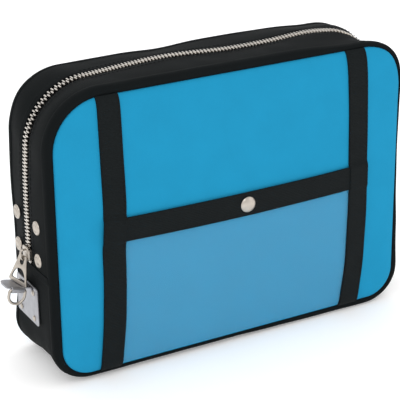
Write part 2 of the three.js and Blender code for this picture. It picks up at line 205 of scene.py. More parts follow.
def surface(
    points: np.ndarray,
    closed_rows: bool = False,
    closed_columns: bool = False,
    capped: bool = False,
    closed: bool = True,
) -> Patch:
    """Joins a grid of points with four-sided faces.

    Texture places are the mean distances along the rows and the columns, in metres.

    Args:
        points: Grid of points, rows by columns by 3.
        closed_rows: Whether the last row joins the first.
        closed_columns: Whether the last column joins the first.
        capped: Whether the first and last rows are closed by flat faces.
        closed: Whether the grid encloses a volume, so that its faces can be turned out.

    Returns:
        The patch.
    """
    rows, columns = points.shape[:2]
    along = np.linalg.norm(np.diff(points, axis=0, append=points[:1]), axis=2).mean(1)
    across = np.linalg.norm(np.diff(points, axis=1, append=points[:, :1]), axis=2).mean(0)
    u = np.concatenate([[0.0], np.cumsum(along)])
    v = np.concatenate([[0.0], np.cumsum(across)])
    i = np.arange(rows if closed_rows else rows - 1)
    j = np.arange(columns if closed_columns else columns - 1)
    a, b = (grid.ravel() for grid in np.meshgrid(i, j, indexing="ij"))
    row = np.stack([a, a + 1, a + 1, a], axis=1)
    column = np.stack([b, b, b + 1, b + 1], axis=1)
    faces = [(row % rows) * columns + column % columns]
    uvs = [np.stack([u[row], v[column]], axis=2)]
    if capped:
        ring = np.arange(columns)
        caps = np.stack([ring[::-1], (rows - 1) * columns + ring])
        faces.append(caps)
        flat = np.stack([np.zeros(columns), v[:columns]], axis=1)
        uvs.append(np.stack([flat[::-1], flat]))
    patch = Patch(points.reshape(-1, 3), faces, uvs)
    return patch.turned_out() if closed else patch


def merged(patches: list[Patch]) -> Patch:
    """Puts patches together into one, keeping each one's faces.

    Args:
        patches: The patches, in order.

    Returns:
        One patch with all their faces.
    """
    starts = np.cumsum([0] + [len(p.vertices) for p in patches])
    faces = [f + start for p, start in zip(patches, starts) for f in p.faces]
    uvs = [u for p in patches for u in p.uvs]
    return Patch(np.concatenate([p.vertices for p in patches]), faces, uvs)


def repeated(shape: Patch, origins: np.ndarray, axes: np.ndarray) -> Patch:
    """Copies a small shape to many places at once.

    Args:
        shape: The shape, drawn about the origin.
        origins: Places, n by 3.
        axes: The shape's own axes at each place, n by 3 by 3, one axis a row.

    Returns:
        All the copies as one patch.
    """
    count, size = len(origins), len(shape.vertices)
    vertices = origins[:, None] + np.einsum("mi,nij->nmj", shape.vertices, axes)
    starts = np.arange(count) * size
    faces = [(f[None] + starts[:, None, None]).reshape(-1, f.shape[1]) for f in shape.faces]
    uvs = [np.broadcast_to(u, (count, *u.shape)).reshape(-1, u.shape[1], 2) for u in shape.uvs]
    return Patch(vertices.reshape(-1, 3), faces, uvs)


def rounded_block(size: tuple[float, float, float], squareness: float, rings: int, sides: int) -> Patch:
    """A superellipsoid: each coordinate is half the size times sgn(c)|c|^squareness of a sphere's.

    Args:
        size: Full lengths along x, y and z.
        squareness: Exponent, from 1 for an ellipsoid down towards 0 for a box.
        rings: Rows of points from pole to pole.
        sides: Points round each ring.

    Returns:
        The closed patch.
    """
    tilt = np.linspace(-np.pi / 2.0, np.pi / 2.0, rings)[:, None]
    turn = np.linspace(0.0, 2.0 * np.pi, sides, endpoint=False)[None] + np.pi / sides
    sphere = np.stack(
        [np.cos(tilt) * np.cos(turn), np.cos(tilt) * np.sin(turn), np.sin(tilt) + 0.0 * turn], axis=2
    )
    return surface(
        np.sign(sphere) * np.abs(sphere) ** squareness * np.array(size) / 2.0, closed_columns=True
    )


def turned(profile: list[tuple[float, float]], sides: int = 40) -> Patch:
    """Turns a profile about the z axis.

    Args:
        profile: Radius and height at each step.
        sides: Points round the axis.

    Returns:
        The closed patch.
    """
    radius, height = np.array(profile).T
    turn = np.linspace(0.0, 2.0 * np.pi, sides, endpoint=False)[:, None]
    points = np.stack([radius * np.cos(turn), radius * np.sin(turn), height + 0.0 * turn], axis=2)
    return surface(points, closed_rows=True)


def rod(path: np.ndarray, flat: np.ndarray, radius: np.ndarray, sides: int, ring: bool) -> Patch:
    """Carries a circle along a path that lies in a plane.

    Args:
        path: Centre points, n by 3.
        flat: Normal of the path's plane.
        radius: Radius at each point.
        sides: Points round the rod.
        ring: Whether the path's end joins its start.

    Returns:
        The closed patch.
    """
    if ring:
        forward = np.roll(path, -1, axis=0) - np.roll(path, 1, axis=0)
    else:
        forward = np.gradient(path, axis=0)
    forward /= np.linalg.norm(forward, axis=1, keepdims=True)
    side = np.cross(forward, flat)
    turn = np.linspace(0.0, 2.0 * np.pi, sides, endpoint=False)[None, :, None]
    points = path[:, None] + radius[:, None, None] * (np.cos(turn) * side[:, None] + np.sin(turn) * flat)
    return surface(points, closed_rows=ring, closed_columns=True, capped=not ring)


def rounded_path(corners: list[tuple[float, float]], radii: list[float], steps: int = 8) -> np.ndarray:
    """Rounds each corner of a closed outline with a quadratic curve from edge to edge.

    Args:
        corners: The outline's corners.
        radii: How far from each corner its rounding begins.
        steps: Points on each rounding.

    Returns:
        The outline's points, n by 2.
    """
    points = np.array(corners, dtype=float)
    before, after = np.roll(points, 1, axis=0), np.roll(points, -1, axis=0)
    start = before - points
    end = after - points
    start = points + start / np.linalg.norm(start, axis=1, keepdims=True) * np.array(radii)[:, None]
    end = points + end / np.linalg.norm(end, axis=1, keepdims=True) * np.array(radii)[:, None]
    t = np.linspace(0.0, 1.0, steps)[None, :, None]
    curve = (1 - t) ** 2 * start[:, None] + 2 * t * (1 - t) * points[:, None] + t**2 * end[:, None]
    return curve.reshape(-1, 2)


def flat_plate(outlines: list[np.ndarray], thickness: float, edge: float) -> Patch:
    """Fills flat outlines, the first one the rim and the rest its holes, into a plate with soft edges.

    Args:
        outlines: Closed outlines in x and y.
        thickness: Full thickness, centred on z = 0.
        edge: Radius of the softened edges.

    Returns:
        The plate's patch.
    """
    curve = bpy.data.curves.new("plate_outline", "CURVE")
    curve.dimensions = "2D"
    curve.fill_mode = "BOTH"
    curve.extrude = thickness / 2.0 - edge
    curve.bevel_depth = edge
    curve.bevel_resolution = 2
    curve.offset = -edge
    for outline in outlines:
        spline = curve.splines.new("POLY")
        spline.points.add(len(outline) - 1)
        places = np.concatenate([outline, np.zeros((len(outline), 1)), np.ones((len(outline), 1))], axis=1)
        spline.points.foreach_set("co", places.astype(np.float32).ravel())
        spline.use_cyclic_u = True
    holder = bpy.data.objects.new("plate_outline", curve)
    mesh = bpy.data.meshes.new_from_object(holder)
    vertices = np.empty(len(mesh.vertices) * 3, dtype=np.float32)
    mesh.vertices.foreach_get("co", vertices)
    vertices = vertices.reshape(-1, 3).astype(float)
    sizes = {len(p.vertices) for p in mesh.polygons}
    faces = [np.array([tuple(p.vertices) for p in mesh.polygons if len(p.vertices) == n]) for n in sizes]
    uvs = [vertices[f][:, :, :2] for f in faces]
    bpy.data.objects.remove(holder)
    bpy.data.curves.remove(curve)
    bpy.data.meshes.remove(mesh)
    return Patch(vertices, faces, uvs)


def placed(origin: tuple[float, float, float], x: Vector, y: Vector, z: Vector) -> Matrix:
    """The matrix that carries a shape's own axes to three given ones at an origin."""
    return Matrix.Translation(Vector(origin)) @ Matrix([x, y, z]).transposed().to_4x4()


# ---- finishes -----------------------------------------------------------------------------------
class Draft:
    """A material being built around its Principled shader."""

    def __init__(self, name: str) -> None:
        """Starts a material with only its shader and output.

        Args:
            name: Name of the material.
        """
        self.material = bpy.data.materials.new(name)
        self.material.use_nodes = True
        self.tree = self.material.node_tree
        self.shader = self.tree.nodes["Principled BSDF"]

    def node(self, kind: str, **settings: object) -> bpy.types.Node:
        """Adds a node and sets its properties, and its inputs where a name matches one.

        Args:
            kind: Type of the node.
            settings: Properties and inputs by name.

        Returns:
            The new node.
        """
        made = self.tree.nodes.new(kind)
        for name, value in settings.items():
            label = name.replace("_", " ").title()
            if label in made.inputs:
                made.inputs[label].default_value = value
            else:
                setattr(made, name, value)
        return made

    def join(self, source: bpy.types.NodeSocket, target: bpy.types.NodeSocket) -> None:
        """Links one socket to another."""
        self.tree.links.new(source, target)

    def shade(self, **values: object) -> None:
        """Sets constants on the shader's own sockets, named with spaces as underscores."""
        for name, value in values.items():
            self.shader.inputs[name.replace("_", " ")].default_value = value

    def place(self, kind: str = "Object") -> bpy.types.NodeSocket:
        """Gives the object's own coordinates, or its UV places."""
        return self.node("ShaderNodeTexCoord").outputs[kind]

    def noise(self, scale: float, detail: float = 3.0, where: str = "Object") -> bpy.types.NodeSocket:
        """Adds noise of a given scale and gives its value.

        Args:
            scale: Scale of the noise.
            detail: Number of octaves.
            where: Output of the texture coordinates that is read.

        Returns:
            The value, from 0 to 1.
        """
        made = self.node("ShaderNodeTexNoise", scale=scale, detail=detail)
        self.join(self.place(where), made.inputs["Vector"])
        return made.outputs["Fac"]

    def bands(self, pitch: float, direction: str, where: str = "UV") -> bpy.types.NodeSocket:
        """Adds sine bands of a given pitch along X, Y or DIAGONAL and gives their value.

        Args:
            pitch: Length of one band.
            direction: X, Y or DIAGONAL.
            where: Output of the texture coordinates that is read.

        Returns:
            The value, from 0 to 1.
        """
        made = self.node("ShaderNodeTexWave", wave_type="BANDS", bands_direction=direction)
        made.inputs["Scale"].default_value = WAVE_PERIOD / pitch
        self.join(self.place(where), made.inputs["Vector"])
        return made.outputs["Fac"]

    def math(self, operation: str, first: object, second: object) -> bpy.types.NodeSocket:
        """Combines two values, each a socket or a number.

        Args:
            operation: Operation of the Math node.
            first: First value.
            second: Second value.

        Returns:
            The result.
        """
        made = self.node("ShaderNodeMath", operation=operation)
        for socket, value in zip(made.inputs, (first, second)):
            if isinstance(value, bpy.types.NodeSocket):
                self.join(value, socket)
            else:
                socket.default_value = value
        return made.outputs[0]

    def ramp(self, value: bpy.types.NodeSocket, low: tuple, high: tuple, span: tuple = (0.3, 0.7)) -> None:
        """Sends a value through two colours to the base colour.

        Args:
            value: Value from 0 to 1.
            low: Linear colour at the span's start.
            high: Linear colour at the span's end.
            span: Values at which the two colours are reached.
        """
        made = self.node("ShaderNodeValToRGB")
        for stop, place, colour in zip(made.color_ramp.elements, span, (low, high)):
            stop.position = place
            stop.color = colour
        self.join(value, made.inputs["Fac"])
        self.join(made.outputs["Color"], self.shader.inputs["Base Color"])

    def roughness(self, value: bpy.types.NodeSocket, low: float, high: float) -> None:
        """Maps a value from 0 to 1 onto a span of roughness.

        Args:
            value: The value that is mapped.
            low: Roughness where it is 0.
            high: Roughness where it is 1.
        """
        made = self.node("ShaderNodeMapRange")
        made.inputs["To Min"].default_value = low
        made.inputs["To Max"].default_value = high
        self.join(value, made.inputs["Value"])
        self.join(made.outputs["Result"], self.shader.inputs["Roughness"])

    def relief(self, height: bpy.types.NodeSocket, depth: float, strength: float = 1.0) -> None:
        """Turns a height from 0 to 1 into relief of a given depth in metres, over any relief before it.

        Args:
            height: The height that is raised.
            depth: Depth of the relief in metres.
            strength: Share of it that shows.
        """
        made = self.node("ShaderNodeBump", distance=depth, strength=strength)
        earlier = self.shader.inputs["Normal"]
        if earlier.is_linked:
            self.join(earlier.links[0].from_socket, made.inputs["Normal"])
        self.join(height, made.inputs["Height"])
        self.join(made.outputs["Normal"], earlier)


def scaled(colour: tuple, factor: float) -> tuple[float, float, float, float]:
    """The same linear colour, lighter or darker."""
    return (*(min(1.0, c * factor) for c in colour[:3]), 1.0)


class Finish(Protocol):
    """Anything that can build one named material."""

    name: str

    def material(self) -> bpy.types.Material:
        """Builds the material."""


@dataclass(frozen=True)
class ClothFinish:
    """Woven cloth: two crossed sets of threads, a faint mottle and a soft nap."""

    name: str
    colour: tuple
    pitch: float = 0.9 * MM
    thread: float = 0.10 * MM
    roughness: float = 0.9
    mottle: float = 0.10
    nap: float = 0.0
    gloss: float = 0.06

    def material(self) -> bpy.types.Material:
        """Builds the cloth's material.

        Returns:
            The material.
        """
        draft = Draft(self.name)
        patches = draft.noise(38.0, 4.0)
        grain = draft.noise(1400.0, 2.0)
        tone = draft.math("ADD", draft.math("MULTIPLY", patches, 0.55), draft.math("MULTIPLY", grain, 0.45))
        draft.ramp(tone, scaled(self.colour, 1 - self.mottle), scaled(self.colour, 1 + self.mottle))
        draft.roughness(grain, self.roughness - 0.08, self.roughness + 0.05)
        weave = draft.math("MULTIPLY", draft.bands(self.pitch, "X"), draft.bands(self.pitch, "Y"))
        draft.relief(weave, self.thread, 0.7)
        draft.relief(patches, 0.25 * MM, 0.35)
        draft.shade(Sheen_Weight=self.nap, Sheen_Roughness=0.5, Specular_IOR_Level=self.gloss)
        return draft.material


@dataclass(frozen=True)
class WebbingFinish:
    """Narrow woven tape with ribs across it and a slight polish from handling."""

    name: str
    colour: tuple
    rib: float = 1.5 * MM

    def material(self) -> bpy.types.Material:
        """Builds the tape's material.

        Returns:
            The material.
        """
        draft = Draft(self.name)
        grain = draft.noise(900.0, 2.0)
        draft.ramp(grain, scaled(self.colour, 0.8), scaled(self.colour, 1.25))
        draft.roughness(draft.noise(60.0), 0.62, 0.8)
        draft.relief(draft.bands(self.rib, "X"), 0.22 * MM, 0.8)
        draft.relief(draft.bands(self.rib * 0.7, "Y"), 0.08 * MM, 0.6)
        draft.shade(Specular_IOR_Level=0.08)
        return draft.material


@dataclass(frozen=True)
class MetalFinish:
    """Plated or brushed metal with fine scratches and slightly uneven polish."""

    name: str
    colour: tuple
    roughness: float = 0.28
    scratch: float = 0.03 * MM

    def material(self) -> bpy.types.Material:
        """Builds the metal's material.

        Returns:
            The material.
        """
        draft = Draft(self.name)
        draft.shade(Metallic=1.0)
        cloud = draft.noise(160.0, 4.0)
        draft.ramp(cloud, scaled(self.colour, 0.88), scaled(self.colour, 1.08))
        draft.roughness(draft.noise(420.0, 5.0), self.roughness - 0.08, self.roughness + 0.12)
        draft.relief(draft.noise(2600.0, 3.0), self.scratch, 0.25)
        return draft.material


@dataclass(frozen=True)
class VinylFinish:
    """Clear glossy sheet that lets most of what lies behind it show."""

    name: str
    colour: tuple
    haze: float = 0.045
    roughness: float = 0.1

    def material(self) -> bpy.types.Material:
        """Builds the vinyl's material.

        Returns:
            The material.
        """
        draft = Draft(self.name)
        draft.shade(Base_Color=self.colour, Alpha=self.haze, Specular_IOR_Level=0.5, IOR=1.5)
        draft.roughness(draft.noise(45.0, 3.0), self.roughness, self.roughness + 0.1)
        draft.relief(draft.noise(18.0, 1.0), 0.6 * MM, 0.4)
        return draft.material


@dataclass(frozen=True)
class FloorFinish:
    """Pale matt sheet lit from below, for the floor."""

    name: str
    colour: tuple
    glow: float = 0.22

    def material(self) -> bpy.types.Material:
        """Builds the floor's material.

        Returns:
            The material.
        """
        draft = Draft(self.name)
        draft.ramp(draft.noise(6.0), scaled(self.colour, 0.99), scaled(self.colour, 1.01))
        draft.shade(Roughness=0.95, Specular_IOR_Level=0.1)
        draft.shade(Emission_Color=(1.0, 1.0, 1.0, 1.0), Emission_Strength=self.glow)
        return draft.material


BLUE_CANVAS = ClothFinish("blue_canvas", linear(29, 141, 183), mottle=0.05, gloss=0.1)
BLACK_CLOTH = ClothFinish("black_cloth", linear(18, 21, 22), pitch=0.8 * MM, roughness=0.7, gloss=0.04)
LINING_CLOTH = ClothFinish("lining_cloth", linear(40, 42, 44), pitch=0.6 * MM, roughness=0.8)
TAPE_CLOTH = ClothFinish("tape_cloth", linear(20, 21, 23), pitch=0.5 * MM, roughness=0.85)
THREAD = ClothFinish("black_thread", linear(26, 28, 30), pitch=0.4 * MM, roughness=0.6)
WEBBING = WebbingFinish("black_webbing", linear(20, 24, 25))
NICKEL = MetalFinish("nickel", linear(188, 180, 170), 0.3)
TEETH_METAL = MetalFinish("teeth_metal", linear(214, 208, 200), 0.26)
PLATE_STEEL = MetalFinish("plate_steel", linear(170, 170, 174), 0.42)
VINYL = VinylFinish("clear_vinyl", linear(196, 196, 206))


class Workshop:
    """Makes pieces from patches and gives each one its finish."""

    def __init__(self) -> None:
        """Starts with no finishes made."""
        self.made: dict[str, bpy.types.Material] = {}

    def finish(self, finish: Finish) -> bpy.types.Material:
        """The material of a finish, built the first time it is asked for.

        Args:
            finish: The finish that is wanted.

        Returns:
            Its material.
        """
        if finish.name not in self.made:
            self.made[finish.name] = finish.material()
        return self.made[finish.name]

    def piece(
        self, name: str, patch: Patch, finish: Finish, slot: str, sharp: float = 40.0
    ) -> bpy.types.Object:
        """Makes an object from a patch.

        Args:
            name: The piece's name.
            patch: Its vertices and faces.
            finish: The finish that it wears.
            slot: The record's material slot; not used.
            sharp: Edges that turn more than this many degrees stay crisp.

        Returns:
            The object, at the origin.
        """
        mesh = bpy.data.meshes.new(name)
        faces = [corner for group in patch.faces for corner in group.tolist()]
        mesh.from_pydata(patch.vertices.tolist(), [], faces)
        places = np.concatenate([u.reshape(-1, 2) for u in patch.uvs])
        mesh.uv_layers.new(name="cloth").data.foreach_set("uv", places.astype(np.float32).ravel())
        work = bmesh.new()
        work.from_mesh(mesh)
        bmesh.ops.remove_doubles(work, verts=work.verts, dist=0.002 * MM)
        work.to_mesh(mesh)
        work.free()
        mesh.polygons.foreach_set("use_smooth", np.ones(len(mesh.polygons), dtype=bool))
        mesh.set_sharp_from_angle(angle=math.radians(sharp))
        mesh.materials.append(self.finish(finish))
        made = bpy.data.objects.new(name, mesh)
        bpy.context.scene.collection.objects.link(made)
        LOG.info("%s: %d faces", name, len(mesh.polygons))
        return made


# ---- the bag's outline --------------------------------------------------------------------------
@dataclass
class Outline:
    """The faces' rounded outline, walked by its length from the middle of the bottom, towards +X."""

    half: float
    bottom: float
    top: float
    bottom_radius: float = 26 * MM
    top_radius: float = 43 * MM

    def __post_init__(self) -> None:
        """Lays out the straight and round stretches and the heading at the end of each."""
        quarter = math.pi / 2.0
        side = self.top - self.bottom - self.top_radius - self.bottom_radius
        low, high = self.half - self.bottom_radius, self.half - self.top_radius
        lengths = [low, quarter * self.bottom_radius, side, quarter * self.top_radius, 2 * high,
                   quarter * self.top_radius, side, quarter * self.bottom_radius, low]
        turns = [0.0, quarter] * 4 + [0.0]
        self.ends = np.concatenate([[0.0], np.cumsum(lengths)])
        self.headings = np.concatenate([[0.0], np.cumsum(turns)])
        self.length = float(self.ends[-1])
        self.side_start = float(self.ends[2])
        walk = np.unique(np.concatenate([np.linspace(0.0, self.length, 4001), self.ends]))
        middle = (walk[1:] + walk[:-1]) / 2.0
        heading = np.interp(middle, self.ends, self.headings)
        step = np.diff(walk)
        self.walk = walk
        self.x = np.concatenate([[0.0], np.cumsum(step * np.cos(heading))])
        self.z = self.bottom + np.concatenate([[0.0], np.cumsum(step * np.sin(heading))])

    def right(self, height: float) -> float:
        """Length along the outline at a height on the right side."""
        return self.side_start + height - self.bottom - self.bottom_radius

    def left(self, height: float) -> float:
        """Length along the outline at a height on the left side."""
        return self.length - self.right(height)

    def at(self, along: np.ndarray, offset: np.ndarray) -> tuple[np.ndarray, np.ndarray]:
        """Places at lengths along the outline, moved outward by an offset.

        Args:
            along: Lengths along the outline.
            offset: Distances outward.

        Returns:
            The x and z coordinates.
        """
        s = np.mod(along, self.length)
        heading = np.interp(s, self.ends, self.headings)
        x = np.interp(s, self.walk, self.x) + offset * np.sin(heading)
        z = np.interp(s, self.walk, self.z) - offset * np.cos(heading)
        return x, z

    def outward(self, along: np.ndarray) -> tuple[np.ndarray, np.ndarray]:
        """The x and z of the outward direction at lengths along the outline."""
        heading = np.interp(np.mod(along, self.length), self.ends, self.headings)
        return np.sin(heading), -np.cos(heading)

    def upper_share(self, along: np.ndarray) -> np.ndarray:
        """How far up round the top corners each length is: 0 on the straight sides, 1 on the top.

        Args:
            along: Lengths along the outline.

        Returns:
            The share at each length.
        """
        s = np.mod(along, self.length)
        mirrored = np.minimum(s, self.length - s)
        return smooth_step(mirrored, float(self.ends[3]) - 10 * MM, float(self.ends[4]) + 20 * MM)

    def depth_inside(self, x: np.ndarray, z: np.ndarray) -> np.ndarray:
        """Distance in from the outline to each point.

        Args:
            x: The x coordinates.
            z: The z coordinates.

        Returns:
            The distances, above zero inside the outline.
        """
        side = np.abs(x)
        plain = np.minimum(np.minimum(self.half - side, self.top - z), z - self.bottom)
        corners = ((self.top_radius, self.top, 1.0), (self.bottom_radius, self.bottom, -1.0))
        for radius, level, sign in corners:
            dx = side - (self.half - radius)
            dz = sign * (z - level) + radius
            corner = (dx > 0) & (dz > 0)
            plain = np.where(corner, radius - np.hypot(dx, dz), plain)
        return plain

    def half_width(self, z: np.ndarray) -> np.ndarray:
        """Half of the outline's width at each height.

        Args:
            z: The heights.

        Returns:
            The half widths.
        """
        up = np.clip((z - self.top + self.top_radius) / self.top_radius, 0.0, 1.0)
        down = np.clip((self.bottom + self.bottom_radius - z) / self.bottom_radius, 0.0, 1.0)
        return (
            self.half
            - self.top_radius * (1.0 - np.sqrt(1.0 - up**2))
            - self.bottom_radius * (1.0 - np.sqrt(1.0 - down**2))
        )


@dataclass
class Pattern:
    """The bag's pattern: its outline, the seam plane and where the front face folds."""

    outline: Outline
    seam: float = 42.3 * MM
    bulge: float = 7.5 * MM
    strip_foot: float = 99.7 * MM
    fold_start: float = 118 * MM
    fold_end: float = 222 * MM
    rear_side_tuck: float = 4.5 * MM
    rear_top_tuck: float = 2.6 * MM
    corner_tuck: float = 6.5 * MM
    foot_corner_tuck: float = 6.0 * MM
    right_corner_tuck: float = 6.5 * MM
    foot_tuck: float = 3.3 * MM
    right_tuck: float = 5.8 * MM
    head_tuck: float = 3.4 * MM
    corner_push: float = 4.0 * MM

    def pinch(self, points: np.ndarray, side: Side, top: bool, depth: float, width: float) -> np.ndarray:
        """Draws the cloth in towards the bag's middle about one corner, as a bell about that corner.

        Args:
            points: Points on the bag.
            side: Which side the corner is on.
            top: Whether it is an upper corner.
            depth: How far the cloth is drawn in at the bell's centre.
            width: Distance at which the pull has fallen to 1/e.

        Returns:
            The shift of each point, in the same shape.
        """
        outline = self.outline
        across = side.value
        up = 1.0 if top else -1.0
        corner_x = across * (outline.half - 18 * MM)
        corner_z = (outline.top if top else outline.bottom) - up * 16 * MM
        away = np.hypot(points[..., 0] - corner_x, points[..., 2] - corner_z)
        pull = bump_at(away, 0.0, width) * depth * math.sqrt(0.5)
        return pull[..., None] * np.array([-across, 0.0, -up])

    def settled(self, points: np.ndarray) -> np.ndarray:
        """Draws the cloth in where it hangs slack around the stiff front face.

        The rear edge is drawn in on the left and along the top, growing with y as a smooth step, and waves
        a little along the top. The cloth behind the front seam is pinched in at three of its corners, and
        the front seam is pushed out at the right upper corner.

        Args:
            points: Points on the bag, any shape by 3.

        Returns:
            The points in their settled places.
        """
        x, y, z = points[..., 0], points[..., 1], points[..., 2]
        outline = self.outline
        left = np.clip((outline.half - x) / (2 * outline.half), 0.0, 1.0)
        up = np.clip((z - outline.bottom) / (outline.top - outline.bottom), 0.0, 1.0)
        rear = smooth_step(y, 2 * MM, 40 * MM)
        side = rear * self.rear_side_tuck * left * smooth_step(z, 20 * MM, 70 * MM)
        held = 0.25 * bump_at(z, 165 * MM, 25 * MM) + 0.5 * smooth_step(z, 214 * MM, 245 * MM)
        side = side * (1.0 - held)
        waves = 2.6 * bump_at(x, -36 * MM, 30 * MM) + 3.2 * bump_at(x, 116 * MM, 30 * MM)
        waves = waves + bump_at(x, -110 * MM, 34 * MM)
        top = rear * (self.rear_top_tuck + waves * MM) * up**2
        middle = smooth_step(y, -38 * MM, -4 * MM) * (1.0 - 0.85 * smooth_step(y, 2 * MM, 36 * MM))
        low = smooth_step(y, -37 * MM, -16 * MM) * (1.0 - smooth_step(y, 2 * MM, 30 * MM))
        free = smooth_step(y, -38 * MM, -20 * MM) * (1.0 - smooth_step(y, -6 * MM, 22 * MM))
        seam = 1.0 - smooth_step(y, -40 * MM, -22 * MM)
        shift = np.stack([side, 0.0 * y, -top], axis=-1)
        pulls = (
            (middle, Side.LEFT, True, self.corner_tuck, 46 * MM),
            (low, Side.LEFT, False, self.foot_corner_tuck, 26 * MM),
            (free, Side.RIGHT, True, self.right_corner_tuck, 44 * MM),
            (seam, Side.RIGHT, True, -self.corner_push, 20 * MM),
        )
        for share, corner_side, top_corner, pull, width in pulls:
            shift = shift + share[..., None] * self.pinch(points, corner_side, top_corner, pull, width)
        return points + shift

    def overhang(self, along: np.ndarray, depth: np.ndarray) -> np.ndarray:
        """Share of the full overhang: less near the front seam at the foot, the right and the top right.

        Args:
            along: Lengths along the outline.
            depth: Their y coordinates.

        Returns:
            The share at each place.
        """
        nx, nz = self.outline.outward(along)
        near_front = smooth_step(-depth, 8 * MM, 37 * MM)
        x, z = self.outline.at(along, 0.0 * along)
        foot_share = 1.0 - 0.55 * smooth_step(x, -20 * MM, 90 * MM)
        foot = np.clip(-nz, 0.0, 1.0) ** 2 * self.foot_tuck * foot_share
        right = np.clip(nx, 0.0, 1.0) ** 6 * self.right_tuck * bump_at(z, 155 * MM, 95 * MM)
        head = self.head_tuck * smooth_step(x, 60 * MM, 125 * MM) * np.clip(nz, 0.0, 1.0) ** 2
        return 1.0 - (foot + right + head) * near_front / self.bulge

    def sweep(self, along: np.ndarray, offset: np.ndarray, depth: np.ndarray) -> np.ndarray:
        """Carries a section round the outline.

        Args:
            along: Lengths along the outline, one a row.
            offset: Distance outward of each section point, columns or rows by columns.
            depth: Its y coordinate, in the same shape.

        Returns:
            Points, rows by columns by 3, held above the surface that the bag stands on.
        """
        offset = np.broadcast_to(offset, (len(along), np.shape(offset)[-1]))
        depth = np.broadcast_to(depth, offset.shape)
        share = np.where(offset > 0.0, self.overhang(along[:, None], depth), 1.0)
        x, z = self.outline.at(along[:, None], offset * share)
        points = self.settled(np.stack([x, depth, z], axis=2))
        points[..., 2] = np.maximum(points[..., 2], 0.2 * MM)
        return points

    def arch(self, count: int = 420) -> np.ndarray:
        """Lengths from the strips' foot on the right, over the top, to their foot on the left."""
        start, end = self.outline.right(self.strip_foot), self.outline.left(self.strip_foot)
        return np.linspace(start, end, count)

    def cradle(self, count: int = 300) -> np.ndarray:
        """Lengths from the strips' foot on the left, round the bottom, to their foot on the right.

        Args:
            count: Number of lengths.

        Returns:
            The lengths along the outline.
        """
        start = self.outline.left(self.strip_foot)
        end = self.outline.length + self.outline.right(self.strip_foot)
        return np.linspace(start, end, count)

    def zip_line(self, along: np.ndarray) -> np.ndarray:
        """The zip's y coordinate: straight up the sides, wandering by a millimetre or so over the top.

        Args:
            along: Lengths along the outline.

        Returns:
            The y coordinates.
        """
        x, _ = self.outline.at(along, 0.0 * along)
        bends = 2.6 * bump_at(x, -45 * MM, 28 * MM) - 1.8 * bump_at(x, 10 * MM, 25 * MM)
        bends = bends - 2.4 * bump_at(x, -155 * MM, 45 * MM)
        bends = bends + 0.6 * Ripples(41, 0.06, 0.14, 5).at(along, 0.0 * along)
        return bends * MM * self.outline.upper_share(along)

    def top_sag(self, along: np.ndarray) -> np.ndarray:
        """How far the zip line rises and dips on the top, where nothing holds the cloth up.

        Args:
            along: Lengths along the outline.

        Returns:
            The rise at each length.
        """
        wave = Ripples(57, 0.07, 0.18, 5).at(along, 0.0 * along) * 0.8 * MM
        x, _ = self.outline.at(along, 0.0 * along)
        dips = 1.6 * MM * bump_at(x, 25 * MM, 60 * MM) - 1.8 * MM * bump_at(x, 105 * MM, 30 * MM)
        return (wave - dips) * self.outline.upper_share(along)

    def fold(self, piece: bpy.types.Object) -> None:
        """Bakes a piece's placement into its vertices, so that it stands at the origin.

        Args:
            piece: A piece that lies on both sides of the fold.
        """
        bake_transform(piece)


def pattern_from_frame() -> Pattern:
    """Measures the front face on the frame and lays out the bag's pattern from it.

    Returns:
        The pattern that the sewn pieces share.
    """
    clearance = 0.3 * MM
    low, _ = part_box("front_panel_lower")
    _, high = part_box("front_panel_upper")
    return Pattern(Outline(high.x + clearance, low.z - clearance, high.z + clearance))


